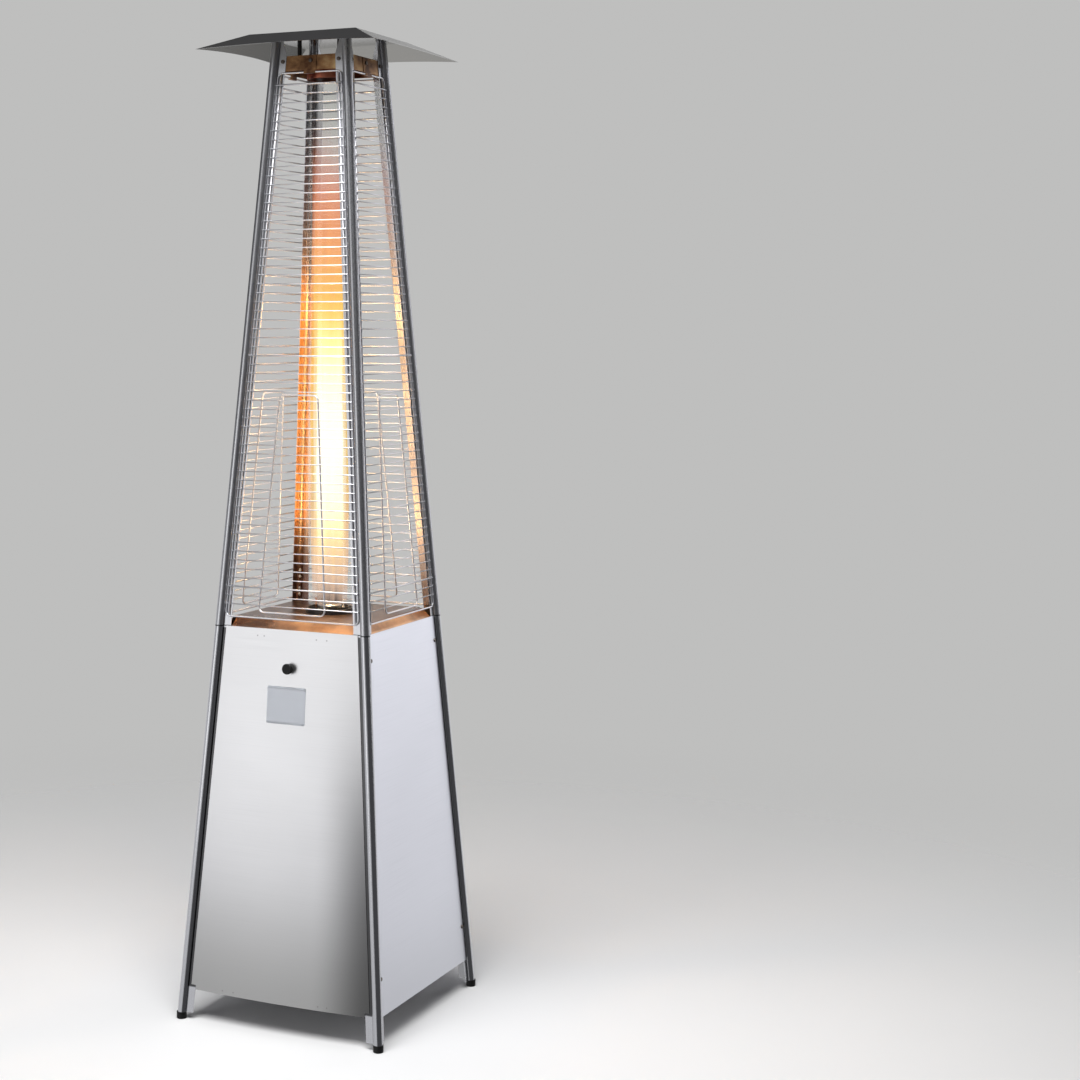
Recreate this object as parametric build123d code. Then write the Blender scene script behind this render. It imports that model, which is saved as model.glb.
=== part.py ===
from build123d import *
import math
import os

# Gas heater with four leaning corner posts, a cabinet below and a flame in a glass tube above.
# Millimetres. The origin is on the floor in the middle of the feet, +Z is up and the door faces -Y.

# Corner posts: a round tube with two flat wings that lie along the two faces beside it
FOOT_SPREAD = 253.0  # from the middle to a post's axis at the floor, along X and along Y
LEAN = 0.0745  # how far a post leans in, along X and along Y, per millimetre of height
POST_RADIUS = 11.0
POST_WALL = 1.2
WING_REACH = 29.0  # from the post's axis to the wing's free edge
WING_SHEET = 1.2
FOOT_RADIUS = 11.5
FOOT_HEIGHT = 16.0
FOOT_PLUG = 14.0
JOINT_HEIGHT = 912.0  # where the upper posts stand on the lower ones
WING_TIP = 2.0  # what is left of a wing beside its tube, under the hood
SPLICE_REACH = 60.0
SPLICE_WALL = 1.5
SLIP = 0.1  # radial play of a piece that slips into another

# Cabinet panels
PANEL_FOOT = 70.0  # height of the lower edge over the floor
PANEL_SHEET = 0.8
PANEL_GAP = 2.0  # from the post's tube to the sheet's edge
PANEL_HEM = 12.0
PANEL_SCREW_DROP = 58.0  # from the panel's upper edge
PANEL_SCREW_RISE = 84.0  # from the panel's lower edge
SCREW_INSET = 21.0  # from the post's axis to the screws in its wing

# Front door, bowed out along its lower edge
DOOR_FOOT = 72.0
DOOR_SHEET = 1.0
DOOR_PLAY = 0.3  # between the door and the wings that it lies on
DOOR_GAP = 7.0  # from the post's tube to the door's edge
DOOR_BOW = 10.0
DOOR_NOTCH = 10.0  # height of the notches round the wings at the lower corners
PULL_DROP = 86.0  # from the door's upper edge to the middle of the pull knob
PULL_RADIUS = 12.0
PULL_NECK = 8.0
PULL_REACH = 15.0
PULL_HEAD = 7.5
PULL_SCREW = 2.0
PULL_SCREW_HEAD = 4.0
PULL_SCREW_DEPTH = 8.0
HOOK_SPREAD = 122.0
HOOK_WIDTH = 25.0
HOOK_SHEET = 2.0
HOOK_FLANGE = 22.0
ROD_RADIUS = 2.5
ROD_RISE = 4.0  # of the rod's axis over the door's lower edge
ROD_INSET = 4.0  # of the rod's axis behind the line of the front posts
ROD_EAR_SPREAD = 180.0
ROD_EAR_SHEET = 3.0
ROD_EAR_RADIUS = 5.0
STRIKE_SPREAD = 77.0
STRIKE_SIZE = 20.0
STRIKE_DROP = 17.0  # from the door's upper edge to the middle of a strike plate
MAGNET_WIDTH = 20.0
MAGNET_HEIGHT = 12.0
MAGNET_DEPTH = 6.0

# Tray that the gas bottle stands on
TRAY_HEIGHT = 90.0
TRAY_SHEET = 1.5
TRAY_SKIRT = 18.0
TRAY_SETBACK = 24.0  # of its front lip behind the line of the front posts
TRAY_HOLE = 60.0
TRAY_VENT = 9.0
TRAY_VENT_CIRCLE = 150.0
TRAY_VENT_COUNT = 8
CORNER_ROOM = 2.0  # round a post, in the pieces that fit between the posts

# Deck on top of the cabinet
DECK_RISE = 19.0  # of the deck's flat over the panels' upper edges
DECK_SLOPE = 20.0  # how far the sloping rim runs inwards
DECK_SHEET = 1.2
DECK_SKIRT = 32.0
DECK_HOLE = 42.0

# Glass tube and its seats
TUBE_RADIUS = 50.0
TUBE_WALL = 2.5
TUBE_LENGTH = 1250.0
SEAT_RADIUS = 56.0
SEAT_FLOOR = 3.0
SEAT_LIP = 8.0
SEAT_PLAY = 0.3
GASKET_THICK = 1.5
COLLAR_DEPTH = 44.0
COLLAR_SHEET = 1.5

# Top frame and hood
FRAME_DEPTH = 33.0
FRAME_SHEET = 1.5
FRAME_HOLE = 46.0
FRAME_SCREW_DROP = 12.0
STUD_SPREAD = 50.0
STUD_RADIUS = 5.0
STUD_THREAD = 3.0
STUD_END = 8.0
NUT_RADIUS = 6.0
NUT_HEIGHT = 5.0
HOOD_REACH = 220.0  # from the middle to each edge of the hood, at its corners
HOOD_FLAT = 132.0
HOOD_RISE = 8.0  # of the hood's corners over the top frame
HOOD_DEPTH = 38.0  # from its corners to its flat top
HOOD_SHEET = 1.0
HOOD_ARCH = 7.0  # how far the edges rise between the corners

# Wire guards
GUARD_DROP = 38.0  # of the guards' upper rod below the top frame's plate
GUARD_FOOT_RISE = 3.5  # of the lowest rod over the deck's flat
GUARD_ROD = 2.0
GUARD_WIRE = 1.3
GUARD_PITCH = 20.0
GUARD_FIRST_DROP = 26.0  # from the upper rod to the first cross wire
GUARD_LAST_RISE = 20.0  # least height of the lowest cross wire over the lowest rod
GUARD_WIRE_SIDES = 6
GUARD_INSET = 14.0  # of the frame rod from the post's axis
GUARD_SECOND_INSET = 22.0
GUARD_CORNER = 12.0
GUARD_PLAY = 0.1
WELD_PLAY = 0.05
GUARD_END_PLAY = 0.8  # from the second uprights' ends to the bends of the frame rod
HOOP_INSET = 98.0
HOOP_FOOT_RISE = 17.0
HOOP_HEIGHT = 488.0
CLIP_WIDTH = 28.0
CLIP_SHEET = 1.2
CLIP_LIP = 6.0

# Control box under the deck
BOX_HALF_WIDTH = 120.0
BOX_FRONT = -150.0
BOX_BACK = 110.0
BOX_DEPTH = 130.0  # below the deck
BOX_SHEET = 1.2
BOX_LIP = 15.0
CONTROL_SPREAD = 45.0
CONTROL_RISE = 50.0  # of the valve and the igniter over the box's floor

# Gas valve
VALVE_SIZE = 36.0
VALVE_DEPTH = 41.0
VALVE_FRONT_WALL = 6.0
VALVE_BACK_WALL = 5.0
PLUG_RADIUS = 9.0
PLUG_PLAY = 0.05
SPINDLE_RADIUS = 4.0
SPINDLE_REACH = 22.0  # in front of the box
SPINDLE_DEPTH = 13.0  # in the plug
KNOB_TRAVEL = 5.0
KNOB_GAP = 6.0
KNOB_FLANGE_RADIUS = 21.0
KNOB_FLANGE = 4.0
KNOB_GRIP_RADIUS = 18.0
KNOB_GRIP = 16.0
KNOB_BAR = 13.0
SPINDLE_HOLE = 6.0
OUTLET_RADIUS = 7.0
OUTLET_LENGTH = 12.0
PIPE_RADIUS = 4.0
PIPE_WALL = 1.0
PIPE_SOCKET = 8.0
PIPE_BEND = 18.0
PIPE_LOOP = 70.0
PIPE_RUN = 50.0
TAIL_NUT_RADIUS = 10.0
TAIL_NUT = 10.0
TAIL_RADIUS = 5.0
TAIL_SHOULDER = 6.0
TAIL_BORE = 3.0
TAIL_LENGTH = 30.0
TAIL_DROP = 4.0  # from the box's floor to the shoulder's lower end
TAIL_HOLE = 7.0

# Igniter
IGNITER_RADIUS = 9.0
IGNITER_DEPTH = 50.0
BEZEL_RADIUS = 13.0
BEZEL_THICK = 3.0
BUTTON_RADIUS = 6.5
BUTTON_REACH = 7.0
BUTTON_DEPTH = 12.0
BUTTON_TRAVEL = 5.0

# Burner
BURNER_DROP = 25.0  # of the burner tray's floor below the deck
BURNER_TRAY_RADIUS = 50.0
BURNER_TRAY_FLANGE = 58.0
BURNER_SHEET = 1.2
MIXER_RADIUS = 16.0
MIXER_WALL = 1.5
MIXER_LENGTH = 68.0
MIXER_ENTRY = 9.0  # of its upper end into the burner head
MIXER_FLANGE = 24.0
MIXER_PORT = 5.0
MIXER_PORT_RISE = 18.0
INJECTOR_RADIUS = 7.0
INJECTOR_HEIGHT = 35.0
INJECTOR_TIP = 3.5
INJECTOR_TIP_HEIGHT = 10.0
INJECTOR_INLET_RISE = 20.0
INJECTOR_BOSS = 20.0
HEAD_RADIUS = 28.0
HEAD_HEIGHT = 44.0
HEAD_WALL = 1.5
HEAD_PORT = 2.0
HEAD_PORT_COUNT = 12
HEAD_PORT_RISES = (30.0, 37.0)
RING_RADIUS = 44.5
RING_HEIGHT = 14.0
RING_LEDGE = 4.5
PROBE_CIRCLE = 36.0
PROBE_RADIUS = 2.5
PROBE_TIP_RISE = 31.0  # over the deck
PROBE_TAIL = 22.0
GLAND_RADIUS = 5.0
GLAND_HEIGHT = 5.0
LEAD_RADIUS = 1.5
LEAD_BEND = 10.0
LEAD_SOCKET_SHIFT = 11.0
ELECTRODE_RADIUS = 3.0
ELECTRODE_PIN = 1.2
SWITCH_SIZE = 30.0
SWITCH_PLACE = 65.0

# Screws with low round heads
SCREW_RADIUS = 2.0
SCREW_HEAD = 4.5
SCREW_HEAD_HEIGHT = 2.4
SCREW_LENGTH = 10.0

# Places worked out from the sizes above
WING_FACE = WING_SHEET / 2
DECK_HEIGHT = JOINT_HEIGHT + DECK_RISE
TUBE_FOOT = DECK_HEIGHT + SEAT_FLOOR
TUBE_TOP = TUBE_FOOT + TUBE_LENGTH
FRAME_TOP = TUBE_TOP + GASKET_THICK + FRAME_SHEET
FRAME_SCREW_HEIGHT = FRAME_TOP - FRAME_SCREW_DROP
HOOD_CORNER_HEIGHT = FRAME_TOP + HOOD_RISE
HOOD_TOP = HOOD_CORNER_HEIGHT + HOOD_DEPTH
POST_TOP = HOOD_TOP - HOOD_SHEET
PULL_HEIGHT = JOINT_HEIGHT - PULL_DROP
BOX_FLOOR = DECK_HEIGHT - DECK_SHEET - BOX_DEPTH
CONTROL_HEIGHT = BOX_FLOOR + CONTROL_RISE
ROD_HEIGHT = DOOR_FOOT + ROD_RISE
DOOR_INNER = WING_FACE + DOOR_PLAY
BOX_INNER_FRONT = BOX_FRONT + BOX_SHEET
BOX_INNER_FLOOR = BOX_FLOOR + BOX_SHEET
BURNER_FLOOR = DECK_HEIGHT - DECK_SHEET - BURNER_DROP
GUARD_FOOT = DECK_HEIGHT + GUARD_FOOT_RISE
GUARD_TOP = FRAME_TOP - GUARD_DROP
GUARD_SPAN = GUARD_TOP - GUARD_FIRST_DROP - GUARD_FOOT - GUARD_LAST_RISE
GUARD_WIRE_COUNT = int(GUARD_SPAN // GUARD_PITCH) + 1
GUARD_THICK_WIRES = (0, GUARD_WIRE_COUNT // 2 + 1, GUARD_WIRE_COUNT - 3)
HOOP_FOOT = DECK_HEIGHT + HOOP_FOOT_RISE
GUARD_ROD_OFFSET = WING_FACE + GUARD_PLAY + GUARD_ROD
CORNERS = {
    "front_left": (-1, -1),
    "front_right": (1, -1),
    "rear_left": (-1, 1),
    "rear_right": (1, 1),
}
SIDES = {"front": 0, "right": 90, "rear": 180, "left": 270}


def spread(height):
    """Distance from the middle to a post's axis at a height, along X and along Y."""
    return FOOT_SPREAD - LEAN * height


def leaning(face, height, corner):
    """Extrude a level face upwards along a post."""
    side_x, side_y = corner
    return Solid.extrude(face, Vector(-side_x * LEAN * height, -side_y * LEAN * height, height))


def at_post(corner, height):
    """Place on a post's axis at a height."""
    return Pos(corner[0] * spread(height), corner[1] * spread(height), height)


def trapezoid_bar(low, low_half, high, high_half):
    """Bar along Y with a level-topped trapezoid as its section."""
    reach = max(low_half, high_half)
    with BuildSketch(Plane.XZ) as section:
        with BuildLine():
            Polyline(
                (-low_half, low),
                (low_half, low),
                (high_half, high),
                (-high_half, high),
                close=True,
            )
        make_face()
    return extrude(section.sketch, amount=2 * reach, both=True)


def frustum(low, low_half, high, high_half):
    """Square frustum between two heights."""
    bar = trapezoid_bar(low, low_half, high, high_half)
    return bar & turned(90, bar)


def post_voids(low, high, reach):
    """Four leaning square prisms round the posts, to cut corners free."""
    voids = []
    for corner in CORNERS.values():
        square = at_post(corner, low) * Rectangle(2 * reach, 2 * reach)
        voids.append(leaning(square.face(), high - low, corner))
    return voids


def front_plate(low, high, left, right, inner, outer):
    """Plate in the leaning front face. left and right give its edges at its two heights."""
    corners = []
    for height, x in zip((low, low, high, high), (left[0], right[0], right[1], left[1])):
        corners.append(Vector(x, -(spread(height) + inner), height))
    face = Face(Wire.make_polygon(corners, close=True))
    return Solid.extrude(face, Vector(0, inner - outer, 0))


def front_sheet(low, high, edge_gap, inner, outer):
    """Sheet in the leaning front face, edge_gap short of the posts' axes on each side."""
    halves = [spread(height) - edge_gap for height in (low, high)]
    return front_plate(low, high, [-half for half in halves], halves, inner, outer)


def front_block(middle_x, width, low, high, inner, outer):
    """Block in the leaning front face, of the same width at both ends."""
    left = middle_x - width / 2
    right = middle_x + width / 2
    return front_plate(low, high, [left, left], [right, right], inner, outer)


def front_plane(x, height, offset):
    """Plane on the leaning front face, with its normal pointing out."""
    origin = Vector(x, -(spread(height) + offset), height)
    return Plane(origin=origin, x_dir=(1, 0, 0), z_dir=(0, -1, LEAN))


def turned(angle, shape):
    """Turn a piece of the front face to another face."""
    return Rot(0, 0, angle) * shape


def rod_along(start, end, radius):
    """Round rod between two points."""
    start = Vector(*start)
    end = Vector(*end)
    face = Plane(origin=start, z_dir=end - start) * Circle(radius)
    return Solid.extrude(face.face(), end - start)


def wire_along(start, end, radius):
    """Wire of few sides between two points."""
    start = Vector(*start)
    end = Vector(*end)
    face = Plane(origin=start, z_dir=end - start) * RegularPolygon(radius, GUARD_WIRE_SIDES)
    return Solid.extrude(face.face(), end - start)


def bent_tube(points, bend, radius, bore=0.0):
    """Tube along straight runs joined by arcs."""
    path = FilletPolyline(*points, radius=bend)
    start = Plane(origin=path @ 0, z_dir=path % 0)
    section = Circle(radius)
    if bore:
        section = section - Circle(bore)
    return sweep(start * section, path=path)


def ring(inner, outer, low, high):
    """Upright ring."""
    section = Circle(outer) - Circle(inner)
    return extrude(Pos(0, 0, low) * section, amount=high - low)


def drill(plane, radius, depth):
    """Round cutter that reaches depth to both sides of a plane."""
    return plane * Cylinder(radius, 2 * depth)


def screw(plane):
    """Screw with a low domed head on a plane, its shank going in."""
    head = extrude(Circle(SCREW_HEAD), amount=SCREW_HEAD_HEIGHT)
    head = fillet(head.edges().sort_by(Axis.Z)[-1], SCREW_HEAD_HEIGHT * 0.6)
    shank = Pos(0, 0, -SCREW_LENGTH) * extrude(Circle(SCREW_RADIUS), amount=SCREW_LENGTH)
    return plane * (head + shank)


def panel_screw_planes():
    """Planes of the panel screws on the front face, before they are turned to the panels' faces."""
    offset = WING_FACE + PANEL_SHEET
    planes = []
    for height in (JOINT_HEIGHT - PANEL_SCREW_DROP, PANEL_FOOT + PANEL_SCREW_RISE):
        for side in (-1, 1):
            planes.append(front_plane(side * (spread(height) - SCREW_INSET), height, offset))
    return planes


def wing_screw_planes():
    """Planes of the screws that hold the top frame, on the front face."""
    place = spread(FRAME_SCREW_HEIGHT) - SCREW_INSET
    return [front_plane(side * place, FRAME_SCREW_HEIGHT, WING_FACE) for side in (-1, 1)]


def clip_screw_plane():
    """Plane of the screw in the middle of the top frame's front."""
    return front_plane(0, FRAME_SCREW_HEIGHT, CLIP_SHEET - WING_FACE)


def post_profile(corner):
    """Section of a post: a tube with a wing along each of its two faces."""
    side_x, side_y = corner
    root = POST_RADIUS - POST_WALL / 2
    length = WING_REACH - root
    middle = (WING_REACH + root) / 2
    tube = Circle(POST_RADIUS) - Circle(POST_RADIUS - POST_WALL)
    wing_x = Pos(-side_x * middle, 0) * Rectangle(length, WING_SHEET)
    wing_y = Pos(0, -side_y * middle) * Rectangle(WING_SHEET, length)
    return tube + wing_x + wing_y


def wing_slant():
    """Space between the front wings over the top frame, which slants their upper ends."""
    low_half = spread(FRAME_TOP) - WING_REACH
    high_half = spread(POST_TOP) - POST_RADIUS - WING_TIP
    left = (-low_half, -high_half)
    right = (low_half, high_half)
    return front_plate(FRAME_TOP, POST_TOP, left, right, -POST_RADIUS, POST_RADIUS)


def post(corner, low, high):
    """Length of a post between two heights, with slanted wings and the holes for the screws in them."""
    profile = at_post(corner, low) * post_profile(corner)
    length = leaning(profile.face(), high - low, corner)
    cutters = []
    for name, angle in SIDES.items():
        cutters.append(turned(angle, wing_slant()))
        planes = wing_screw_planes()
        if name != "front":
            planes = planes + panel_screw_planes()
        for plane in planes:
            cutters.append(turned(angle, drill(plane, SCREW_RADIUS + SLIP, SCREW_LENGTH)))
    return length - cutters


def foot(corner):
    """Foot cap with a plug that goes up into the tube."""
    base = at_post(corner, 0) * Pos(0, 0, FOOT_HEIGHT / 2) * Cylinder(FOOT_RADIUS, FOOT_HEIGHT)
    base = fillet(base.edges().sort_by(Axis.Z)[0], FOOT_HEIGHT / 8)
    plug_face = at_post(corner, FOOT_HEIGHT) * Circle(POST_RADIUS - POST_WALL - SLIP)
    return base + leaning(plug_face.face(), FOOT_PLUG, corner)


def splice(corner):
    """Inner tube that joins the upper and the lower post."""
    outer = POST_RADIUS - POST_WALL - SLIP
    section = Circle(outer) - Circle(outer - SPLICE_WALL)
    start = JOINT_HEIGHT - SPLICE_REACH
    return leaning((at_post(corner, start) * section).face(), 2 * SPLICE_REACH, corner)


def panel():
    """Cabinet panel, drawn on the front face, with a hem turned in along its lower edge."""
    inner = WING_FACE
    outer = WING_FACE + PANEL_SHEET
    sheet = front_sheet(PANEL_FOOT, JOINT_HEIGHT, POST_RADIUS + PANEL_GAP, inner, outer)
    hem_top = PANEL_FOOT + PANEL_SHEET
    hem = front_sheet(PANEL_FOOT, hem_top, WING_REACH + PANEL_GAP, -PANEL_HEM, (inner + outer) / 2)
    holes = [drill(plane, SCREW_RADIUS + SLIP, SCREW_LENGTH) for plane in panel_screw_planes()]
    return sheet + hem - holes


def door_sheet(inner, outer):
    """Bowed sheet in the front face, between two distances from the line of the posts."""
    gap = POST_RADIUS + DOOR_GAP
    low_half = spread(DOOR_FOOT) - gap
    high_half = spread(JOINT_HEIGHT) - gap
    back = -(spread(DOOR_FOOT) + inner)
    front = -(spread(DOOR_FOOT) + outer)
    with BuildSketch(Plane.XY.offset(DOOR_FOOT)) as lower:
        with BuildLine():
            near = ThreePointArc((-low_half, front), (0, front - DOOR_BOW), (low_half, front))
            Line(near @ 1, (low_half, back))
            far = ThreePointArc((low_half, back), (0, back - DOOR_BOW), (-low_half, back))
            Line(far @ 1, near @ 0)
        make_face()
    back = -(spread(JOINT_HEIGHT) + inner)
    front = -(spread(JOINT_HEIGHT) + outer)
    with BuildSketch(Plane.XY.offset(JOINT_HEIGHT)) as upper:
        with BuildLine():
            Polyline(
                (-high_half, front),
                (high_half, front),
                (high_half, back),
                (-high_half, back),
                close=True,
            )
        make_face()
    return loft([lower.sketch, upper.sketch], ruled=True)


def pull_plane():
    """Plane on the door's face where the pull knob stands."""
    share = (JOINT_HEIGHT - PULL_HEIGHT) / (JOINT_HEIGHT - DOOR_FOOT)
    out = spread(PULL_HEIGHT) + DOOR_INNER + DOOR_SHEET + DOOR_BOW * share
    slope = LEAN + DOOR_BOW / (JOINT_HEIGHT - DOOR_FOOT)
    return Plane(origin=(0, -out, PULL_HEIGHT), x_dir=(1, 0, 0), z_dir=(0, -1, slope))


def front_door():
    """Door sheet with notches round the wings and a hole for the pull knob's screw."""
    sheet = door_sheet(DOOR_INNER, DOOR_INNER + DOOR_SHEET)
    notch_edge = spread(DOOR_FOOT) - WING_REACH - PANEL_GAP
    notch = Box(4 * PANEL_HEM, 8 * DOOR_BOW, 2 * DOOR_NOTCH, align=(Align.MIN, Align.CENTER, Align.CENTER))
    right = Pos(notch_edge, -spread(DOOR_FOOT), DOOR_FOOT) * notch
    left = mirror(right, about=Plane.YZ)
    return sheet - right - left - drill(pull_plane(), PULL_SCREW + SLIP, PULL_SCREW_DEPTH)


def on_door_back(x, width, low, high):
    """Plate that lies on the back of the bowed door."""
    plate = Pos(0, DOOR_SHEET, 0) * door_sheet(DOOR_INNER, DOOR_INNER + DOOR_SHEET)
    window = Pos(x, -spread(low), (low + high) / 2) * Box(width, 20 * DOOR_BOW, high - low)
    return plate & window


def rod_middle():
    """Y of the rod that the door turns on."""
    return -(spread(ROD_HEIGHT) - ROD_INSET)


def door_hook(side):
    """Bracket on the door's back, bent over the rod."""
    x = side * HOOK_SPREAD
    inner = ROD_RADIUS + SLIP
    outer = inner + HOOK_SHEET
    arm_low = ROD_HEIGHT + inner
    flange = on_door_back(x, HOOK_WIDTH, arm_low, arm_low + HOOK_FLANGE)
    reach = 4 * DOOR_BOW
    with BuildSketch(Plane.YZ) as profile:
        Circle(outer)
        with Locations((-reach / 2, (inner + outer) / 2)):
            Rectangle(reach, HOOK_SHEET)
        Circle(inner, mode=Mode.SUBTRACT)
        with Locations((0, -outer)):
            Rectangle(2 * reach, 2 * outer, mode=Mode.SUBTRACT)
        with Locations(((inner + outer) / 2, -inner / 2)):
            Rectangle(HOOK_SHEET, inner)
    arm = Pos(x, rod_middle(), ROD_HEIGHT) * extrude(profile.sketch, amount=HOOK_WIDTH / 2, both=True)
    ahead = door_sheet(DOOR_INNER, DOOR_INNER + 2 * reach)
    return flange + (arm - ahead)


def door_strike(side):
    """Thin steel plate on the door's back that the magnet holds."""
    middle = JOINT_HEIGHT - STRIKE_DROP
    return on_door_back(side * STRIKE_SPREAD, STRIKE_SIZE, middle - STRIKE_SIZE / 2, middle + STRIKE_SIZE / 2)


def magnet(side):
    """Magnet set into the deck's skirt, behind a strike plate."""
    middle = JOINT_HEIGHT - STRIKE_DROP
    low = middle - MAGNET_HEIGHT / 2
    high = middle + MAGNET_HEIGHT / 2
    return front_block(side * STRIKE_SPREAD, MAGNET_WIDTH, low, high, -WING_FACE - MAGNET_DEPTH, -WING_FACE)


def pull_knob():
    """Turned knob with a narrow neck and a flat round head."""
    rim = PULL_HEAD / 5
    with BuildSketch(Plane.XZ) as half:
        with BuildLine():
            Polyline(
                (PULL_SCREW, 0),
                (PULL_NECK, 0),
                (PULL_NECK * 0.9, PULL_REACH - PULL_HEAD),
                (PULL_RADIUS - rim, PULL_REACH - PULL_HEAD),
                (PULL_RADIUS, PULL_REACH - PULL_HEAD + rim),
                (PULL_RADIUS, PULL_REACH - rim),
                (PULL_RADIUS - rim, PULL_REACH),
                (0, PULL_REACH),
                (0, PULL_SCREW_DEPTH),
                (PULL_SCREW, PULL_SCREW_DEPTH),
                close=True,
            )
        make_face()
    return pull_plane() * revolve(half.sketch, Axis.Z)


def pull_knob_screw():
    """Screw that holds the pull knob from behind the door."""
    head = Pos(0, 0, -DOOR_SHEET * 1.05 - PULL_SCREW / 2) * Cylinder(PULL_SCREW_HEAD, PULL_SCREW)
    shank = Pos(0, 0, (PULL_SCREW_DEPTH - 2 * DOOR_SHEET) / 2) * Cylinder(
        PULL_SCREW, PULL_SCREW_DEPTH + 2 * DOOR_SHEET
    )
    return pull_plane() * (head + shank)


def bottle_tray():
    """Tray with skirts between the posts, a set-back front lip and ears for the door's rod."""
    low = TRAY_HEIGHT - TRAY_SKIRT
    under = TRAY_HEIGHT - TRAY_SHEET
    outer = frustum(low, spread(low) - WING_FACE, TRAY_HEIGHT, spread(TRAY_HEIGHT) - WING_FACE)
    inner = frustum(
        low, spread(low) - WING_FACE - TRAY_SHEET, under, spread(under) - WING_FACE - TRAY_SHEET
    )
    tray = outer - inner - post_voids(low, TRAY_HEIGHT, POST_RADIUS + CORNER_ROOM)
    lip_y = -(spread(TRAY_HEIGHT) - TRAY_SETBACK)
    ahead = Pos(0, lip_y, TRAY_HEIGHT) * Box(
        4 * FOOT_SPREAD, 4 * FOOT_SPREAD, 4 * TRAY_SKIRT, align=(Align.CENTER, Align.MAX, Align.CENTER)
    )
    tray = tray - ahead
    lip_width = 2 * (spread(TRAY_HEIGHT) - WING_REACH)
    lip_place = Pos(0, lip_y + TRAY_SHEET / 2, (DOOR_FOOT + TRAY_HEIGHT) / 2)
    tray = tray + lip_place * Box(lip_width, TRAY_SHEET, TRAY_HEIGHT - DOOR_FOOT)
    ear_length = lip_y - rod_middle()
    with BuildSketch(Plane.YZ) as ear:
        Circle(ROD_EAR_RADIUS)
        with Locations((ear_length / 2, 0)):
            Rectangle(ear_length, 2 * ROD_EAR_RADIUS)
        Circle(ROD_RADIUS, mode=Mode.SUBTRACT)
    for side in (-1, 1):
        place = Pos(side * ROD_EAR_SPREAD, rod_middle(), ROD_HEIGHT)
        tray = tray + place * extrude(ear.sketch, amount=ROD_EAR_SHEET / 2, both=True)
    tray = tray - Pos(0, 0, TRAY_HEIGHT) * Cylinder(TRAY_HOLE, 4 * TRAY_SHEET)
    for place in PolarLocations(TRAY_VENT_CIRCLE, TRAY_VENT_COUNT):
        tray = tray - Pos(0, 0, TRAY_HEIGHT) * place * Cylinder(TRAY_VENT, 4 * TRAY_SHEET)
    return tray


def door_rod():
    """Rod through the tray's ears, which the door's hooks hang on."""
    reach = ROD_EAR_SPREAD + 2 * ROD_EAR_RADIUS
    return rod_along((-reach, rod_middle(), ROD_HEIGHT), (reach, rod_middle(), ROD_HEIGHT), ROD_RADIUS)


def deck_plate():
    """Deck with a sloping rim and a skirt behind the panels, open round the posts."""
    low = JOINT_HEIGHT - DECK_SKIRT
    edge = spread(JOINT_HEIGHT) - WING_FACE
    skirt = spread(low) - WING_FACE
    under = DECK_HEIGHT - DECK_SHEET
    inner_slope = DECK_SLOPE * (DECK_RISE - DECK_SHEET) / DECK_RISE
    outer = frustum(low, skirt, JOINT_HEIGHT, edge) + frustum(
        JOINT_HEIGHT, edge, DECK_HEIGHT, edge - DECK_SLOPE
    )
    inner = frustum(low, skirt - DECK_SHEET, JOINT_HEIGHT, edge - DECK_SHEET) + frustum(
        JOINT_HEIGHT, edge - DECK_SHEET, under, edge - DECK_SHEET - inner_slope
    )
    deck = outer - inner
    deck = deck - post_voids(low, JOINT_HEIGHT, POST_RADIUS + CORNER_ROOM)
    deck = deck - post_voids(JOINT_HEIGHT, DECK_HEIGHT + DECK_RISE, WING_REACH + CORNER_ROOM)
    deck = deck - Pos(0, 0, DECK_HEIGHT) * Cylinder(DECK_HOLE, 4 * DECK_SHEET)
    return deck - [magnet(-1), magnet(1)]


def control_box():
    """Folded sheet channel that hangs under the deck and carries the controls."""
    top = DECK_HEIGHT - DECK_SHEET
    inner_back = BOX_BACK - BOX_SHEET
    with BuildSketch(Plane.YZ) as profile:
        with BuildLine():
            Polyline(
                (BOX_FRONT, top),
                (BOX_FRONT + BOX_LIP, top),
                (BOX_FRONT + BOX_LIP, top - BOX_SHEET),
                (BOX_INNER_FRONT, top - BOX_SHEET),
                (BOX_INNER_FRONT, BOX_INNER_FLOOR),
                (inner_back, BOX_INNER_FLOOR),
                (inner_back, top - BOX_SHEET),
                (BOX_BACK - BOX_LIP, top - BOX_SHEET),
                (BOX_BACK - BOX_LIP, top),
                (BOX_BACK, top),
                (BOX_BACK, BOX_FLOOR),
                (BOX_FRONT, BOX_FLOOR),
                close=True,
            )
        make_face()
    box = extrude(profile.sketch, amount=BOX_HALF_WIDTH, both=True)
    front = Plane(origin=(0, BOX_FRONT, CONTROL_HEIGHT), x_dir=(1, 0, 0), z_dir=(0, -1, 0))
    box = box - front * Pos(-CONTROL_SPREAD, 0) * Cylinder(SPINDLE_HOLE, 4 * BOX_SHEET)
    box = box - front * Pos(CONTROL_SPREAD, 0) * Cylinder(IGNITER_RADIUS, 4 * BOX_SHEET)
    return box - Pos(-CONTROL_SPREAD, tail_middle(), BOX_FLOOR) * Cylinder(TAIL_HOLE, 4 * BOX_SHEET)


def tail_middle():
    """Y of the hose tail, under the middle of the valve."""
    return BOX_INNER_FRONT + VALVE_DEPTH / 2


def along_y(x, height, start, end, radius):
    """Round bar from front to back."""
    return rod_along((x, start, height), (x, end, height), radius)


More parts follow.
